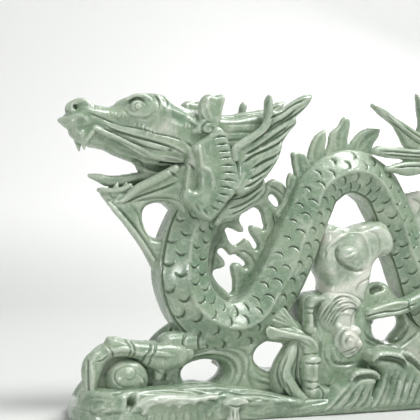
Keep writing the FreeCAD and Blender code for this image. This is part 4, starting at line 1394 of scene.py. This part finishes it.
GRIP = [
    (-3.6, 38.6), (-3.8, 46), (-3.6, 54), (-1.2, 57.8), (3, 58.4), (8.4, 55.6), (4.4, 54), (1.6, 52),
    (0.8, 45), (1, 38.6)
]
grip = weld("jade_grip", [slice_of(GRIP, -15.6, 4.4, 2.8)], grain=0.4, polish=3)
carve(
    grip, [[(-4.8, 52.4), (-1, 51.4), (2.8, 52)], [(-4.8, 49.6), (-1, 48.8), (2.4, 49.4)]], width=0.6,
    depth=0.6, taper=2, side=-1, wax_and_shade=0.6
)
carve(grip, [[(-1.2, 49), (-1.2, 40)], [(-1, 56), (3, 56.6)]], width=1.2, depth=-0.5, side=-1)
settle(grip, "wave_grip_claw", green)

HIND = [
    (33, 44), (33.4, 49.6), (39.5, 51.8), (48.5, 54.8), (57, 55.4), (66, 59), (77, 62), (78, 54),
    (66, 49.4), (56, 45.8), (48.5, 45), (41, 44)
]
hind = weld("jade_hind_leg", [slice_of(HIND, -8.6, 5.4, 3.6)], grain=0.42)
carve(
    hind, [[(31.5, 45.6), (37.5, 47), (43, 48), (52, 48.6), (62, 52)]], width=0.7, depth=0.9, taper=3,
    side=-1, wax_and_shade=0.6
)
carve(
    hind, [[(35, 48.6), (42, 50.8), (50, 52.4), (58, 52.6)], [(38, 45.6), (46, 46.4), (54, 47)]],
    width=1.2, depth=-0.6, side=-1
)
carve(hind, [[(58.4, 55), (57, 51), (58.6, 47)]], width=0.6, depth=0.6, side=-1, wax_and_shade=0.4)
settle(hind, "hind_leg_near", green)

FAR_LEGS = {
    "foreleg_far": (
        [
            (-38, 7, 44, 6), (-45, 19, 44, 5.5), (-58, 24, 39, 5), (-68, 25.4, 32, 4.4),
            (-73, 25.4, 24, 3.6)
        ],
        [[(-56, 44), (-58, 40), (-56, 35)], [(-60, 43), (-62, 38), (-60, 33)]],
    ),
    "hind_leg_far": (
        [(88, 12, 40, 6), (95, 20, 41, 5.5), (102, 25, 35, 5), (103.4, 26, 24, 3.8)],
        [[(97, 34), (102, 31), (108, 33)], [(97.6, 30), (102, 27.6), (108, 30)]],
    ),
}
for node, (route, cuts) in FAR_LEGS.items():
    leg = weld(f"jade_{node}", [rod(route)], grain=0.42, polish=3)
    carve(leg, cuts, width=0.9, depth=0.8, taper=1.5)
    settle(leg, node, green)

# ---------------------------------------------------------------- fins
# Flame-shaped fins left standing along the back and the tail, ground to about four millimetres, with a
# shallow groove up each fin of the back.

FINS = {
    "fins_rising": [
        [
            (-13, 98), (-9, 105), (-6.6, 111), (-6.6, 116.4), (-4.4, 120.2), (-1.6, 118), (-0.4, 112),
            (0, 104), (-4, 97)
        ],
        [
            (-2.4, 112), (-2.4, 119), (-3.8, 126), (-3.8, 130.2), (0, 131), (3.2, 130.2), (6.4, 126),
            (9, 121), (7, 113)
        ],
    ],
    "fins_hump": [
        [
            (3.8, 118), (4.8, 127), (6.4, 133.6), (9.8, 139.6), (15.8, 143.4, 0), (16.2, 138),
            (15.4, 132), (14, 126), (9, 119)
        ],
        [
            (15, 128), (16.6, 134.2), (18.4, 141.4), (22.4, 144.4), (26.4, 149.8), (29.4, 148.8),
            (29.8, 144), (28.6, 137.4), (29, 129)
        ],
        [
            (27, 129), (29.6, 135.8), (34.6, 141.6), (41, 144.4), (48, 144.4, 0), (46.6, 139.4),
            (43.2, 134.4), (42.6, 127)
        ],
    ],
    "fins_tail": [
        [
            (x - 5, z - 5), (x - 1, z - 6), (x + 2, z - 1), (x + 3.8, z + 7, 0), (x - 1, z + 4.4),
            (x - 6, z + 5)
        ]
        for x, z in ((118, 62), (119.5, 78), (117, 94), (111, 109))
    ],
}
FIN_RIBS = [
    [(-8, 104), (-5, 112), (-4.2, 118)],
    [(2, 117), (0.4, 124), (-0.4, 129)],
    [(9, 125), (9.6, 132), (13.6, 140)],
    [(22, 132), (22.6, 139), (26, 147)],
    [(34, 132), (38, 138), (45, 143)],
]
for node, outlines in FINS.items():
    middle = 2 if node == "fins_tail" else 0
    fins = weld(f"jade_{node}", [slice_of(outline, middle, 2.1, 1.8) for outline in outlines], grain=0.4)
    carve(fins, FIN_RIBS, width=1.6, depth=0.6, taper=4, wax_and_shade=0.1)
    settle(fins, node, green)

# ---------------------------------------------------------------- tail flames
# The tuft at the tail's end: a long near flame, two flat strands under it and a tall one behind, each
# ridged along its middle.

FLAME_NEAR = [
    (39.4, 156.2), (45, 155.4), (53.5, 150.4), (66, 143.4), (77, 138), (80, 131), (68, 131), (59.4, 134)
]
FLAME_NEAR += [(56.4, 139), (51.6, 146), (44.4, 151.4)]
near_flame = weld("jade_flame_near", [slice_of(FLAME_NEAR, -5, 3.4, 3)], grain=0.42)
carve(near_flame, [[(42, 154), (52, 147.6), (62, 141), (74, 134.4)]], width=0.8, depth=-0.8, taper=6)
carve(
    near_flame,
    [[(45, 152.6), (53, 145.4), (62, 138.6), (74, 132.6)], [(56, 145.6), (66, 140), (76, 134.6)]], taper=6
)
settle(near_flame, "tail_flame_near", green)

FLAMES_LOW = [
    [
        (38.6, 132.8), (50, 134.2), (64, 133.4), (77, 134), (78, 128), (64, 127), (50, 127.6),
        (43, 128.6), (38.8, 130)
    ],
    [
        (45.4, 122.4), (50, 124.8), (58, 126.8), (70, 127), (78, 126), (76, 121), (66, 119.4),
        (60, 118.4), (52, 120)
    ],
]
low_flames = weld(
    "jade_flames_low", [slice_of(outline, -8, 3, 2.6) for outline in FLAMES_LOW], grain=0.42
)
LOW_LINES = [
    [(42, 131.2), (54, 131), (66, 130.4), (76, 131)], [(50, 122.8), (60, 123.6), (74, 124)],
    [(44, 129.6), (54, 129), (70, 128.6)]
]
carve(low_flames, LOW_LINES, width=0.8, depth=0.8, taper=6, wax_and_shade=0.7)
settle(low_flames, "tail_flames_low", green)

FLAME_TALL = [
    (70.4, 165, 0), (74, 162), (76.4, 155.5), (80, 148), (85, 139), (84, 131), (72, 133), (70.4, 140),
    (72.4, 148), (71.6, 156)
]
tall_flame = weld("jade_flame_tall", [slice_of(FLAME_TALL, 3, 3, 2.8)], grain=0.45)
carve(tall_flame, [[(72.6, 160), (74, 152), (76, 143), (78, 134)]], width=0.8, depth=-0.8, taper=6)
settle(tall_flame, "tail_flame_tall", green)

# ---------------------------------------------------------------- pierced clouds
# Thin panels of cloud left between the lengths of the body and pierced with a fret saw: one behind the
# neck, one arched under the tail.

FRET = [
    (-50, 76), (-49, 86), (-43, 94), (-38, 99), (-27, 103), (-20.4, 107), (-17, 113.6), (-14.6, 116),
    (-11.5, 117)
]
FRET += [
    (-7, 115), (-4, 110), (-3, 102), (-7, 92), (-13, 79), (-20, 66), (-28, 56), (-37.3, 53.6),
    (-45.5, 54), (-51, 62)
]
FRET_HOLES = [
    [(-14.8, 107.5), (-13.4, 108.6), (-11, 107.2), (-9.4, 105), (-9.4, 102.4), (-12.4, 104)],
    [
        (-30.6, 95), (-30, 98), (-27, 99.6), (-22.4, 101.7), (-19.5, 99.5), (-18.4, 95.5), (-18, 91),
        (-20.5, 92.5)
    ]
    + [
        (-25.4, 93), (-25.6, 89.5), (-23, 85.6), (-21.2, 81.6), (-22, 80.8), (-25.5, 85), (-28, 86.6),
        (-30.5, 84.6)
    ]
    + [
        (-33, 83.4), (-36, 84.6), (-37.6, 88), (-38.4, 91), (-35.4, 91), (-31.6, 89.4), (-29, 89.2),
        (-28.4, 91)
    ],
    [
        (-42.6, 80), (-40, 81), (-38, 79.4), (-36, 77.4), (-33.5, 78), (-31, 76.4), (-28, 74),
        (-27.4, 71.4), (-31, 74)
    ]
    + [
        (-34.6, 74), (-36, 72), (-35.4, 68), (-34.6, 63), (-36, 58.6), (-39, 61), (-44, 66), (-45, 69.6),
        (-41, 71), (-38.6, 72.4), (-39.4, 76)
    ],
]
fret = weld("jade_neck_fretwork", [slice_of(FRET, 4, 3, 2.4, FRET_HOLES)], grain=0.45)
FRET_LINES = [
    [(-16, 113), (-12, 111.6), (-7, 108)],
    [(-14, 100), (-12, 93), (-17, 84)],
    [(-33, 80), (-28, 79), (-24, 75.6), (-22, 70)],
    [(-44, 84), (-46, 76), (-47, 68)],
    [(-30, 66), (-28, 62)],
]
carve(fret, FRET_LINES, width=0.7, depth=0.7, wax_and_shade=0.5)
settle(fret, "neck_fretwork_low", green)
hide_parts("neck_fretwork_low", "neck_fretwork_high")

TAIL_CLOUD = [
    (55, 100), (58, 108), (66, 111), (74, 112.4), (82, 109), (90, 110.6), (98, 107), (104, 100), (108, 90)
]
TAIL_CLOUD += [
    (108, 78), (104, 70), (97, 69), (93, 75), (94, 84), (90, 93), (84, 96), (76, 92), (70, 86), (62, 84)
]
cloud = weld("jade_tail_cloud", [slice_of(TAIL_CLOUD, 3, 4, 3.4)], grain=0.5)
CLOUD_LINES = [
    [(66, 108), (72, 104), (70, 98)], [(78, 108), (86, 104), (94, 102), (100, 94)],
    [(100, 86), (99, 78), (103, 74)]
]
carve(cloud, CLOUD_LINES, width=1, depth=0.8, wax_and_shade=0.4)
settle(cloud, "tail_cloud", light)

# ---------------------------------------------------------------- studio
# A white table that curves up into a white backdrop, painted a little darker at the table than higher up as
# painted shade, with a wide lamp above the front, a small one low at the nose side, one behind, and daylight
# all round.

bpy.ops.mesh.primitive_plane_add(size=1)
floor = bpy.context.object
floor.name = "studio_sweep"
mesh = floor.data
TABLE_END = 0.6  # metres behind the carving
SWEEP = 0.5  # radius that the paper curves up with
profile = [(-1.4, 0.0), (TABLE_END, 0.0)]
for turn in np.radians(range(6, 91, 6)):
    profile.append((TABLE_END + SWEEP * math.sin(turn), SWEEP - SWEEP * math.cos(turn)))
profile.append((TABLE_END + SWEEP, 2.4))
corners = [(x, y, z) for y, z in profile for x in (-2.2, 2.2)]
mesh.clear_geometry()
mesh.from_pydata(corners, [], [(i, i + 1, i + 3, i + 2) for i in range(0, len(corners) - 2, 2)])
VIEW_TURN = math.radians(-20)  # of the camera, and of the table that lies square to it
floor.rotation_euler = (0, 0, VIEW_TURN)
alone(floor)
bpy.ops.object.transform_apply(location=True, rotation=True, scale=True)
bpy.ops.object.shade_smooth()
paper = bpy.data.materials.new("white_paper")
paper.use_nodes = True
where = add(paper.node_tree, "ShaderNodeTexCoord").outputs["Object"]
across = add(paper.node_tree, "ShaderNodeSeparateXYZ", Vector=where)
# painted shade: the paper is painted greyer down at the table than higher up
fade = add(
    paper.node_tree, "ShaderNodeMapRange", {"interpolation_type": "SMOOTHSTEP"}, Value=across.outputs["Z"]
)
fade.inputs["From Min"].default_value = -0.01
fade.inputs["From Max"].default_value = 0.13
painted_shade = add(paper.node_tree, "ShaderNodeMix", {"data_type": "RGBA"}, _0=fade.outputs["Result"])
painted_shade.inputs[6].default_value = srgb("#D3D4D1")
painted_shade.inputs[7].default_value = srgb("#F8F8F6")
paper.node_tree.links.new(painted_shade.outputs[2], paper.node_tree.nodes["Principled BSDF"].inputs["Base Color"])
paper.node_tree.nodes["Principled BSDF"].inputs["Roughness"].default_value = 0.8
mesh.materials.append(paper)

world = bpy.data.worlds.new("soft_daylight")
bpy.context.scene.world = world
world.use_nodes = True
world.node_tree.nodes["Background"].inputs["Color"].default_value = srgb("#F6F9FB")
world.node_tree.nodes["Background"].inputs["Strength"].default_value = 0.44

for name, place, size, power in (
    ("key", (0.35, -0.45, 1.1), 0.5, 13.5),
    ("side", (-0.85, -0.95, 0.2), 0.16, 3.4),
    ("rim", (0.6, 0.6, 0.7), 0.5, 4.0),
):
    lamp = bpy.data.lights.new(name, "AREA")
    lamp.size = size
    lamp.energy = power
    lamp_object = bpy.data.objects.new(name, lamp)
    bpy.context.collection.objects.link(lamp_object)
    lamp_object.location = place
    aim = np.array([0, 0, 0.08]) - np.array(place)
    lamp_object.rotation_euler = (
        math.atan2(math.hypot(aim[0], aim[1]), -aim[2]),
        0,
        math.atan2(aim[1], aim[0]) - math.pi / 2,
    )

lens = bpy.data.cameras.new("camera")
lens.lens = 94.3
lens.sensor_width = 36
lens.shift_y = 0.0357142857  # the carving lies a little below the middle of the view
lens.clip_start = 0.01
camera = bpy.data.objects.new("camera", lens)
bpy.context.collection.objects.link(camera)
camera.location = (-0.2361, -0.5168, 0.093)
camera.rotation_euler = (math.radians(90), 0, VIEW_TURN)
bpy.context.scene.camera = camera
bpy.context.scene.view_settings.view_transform = "Standard"
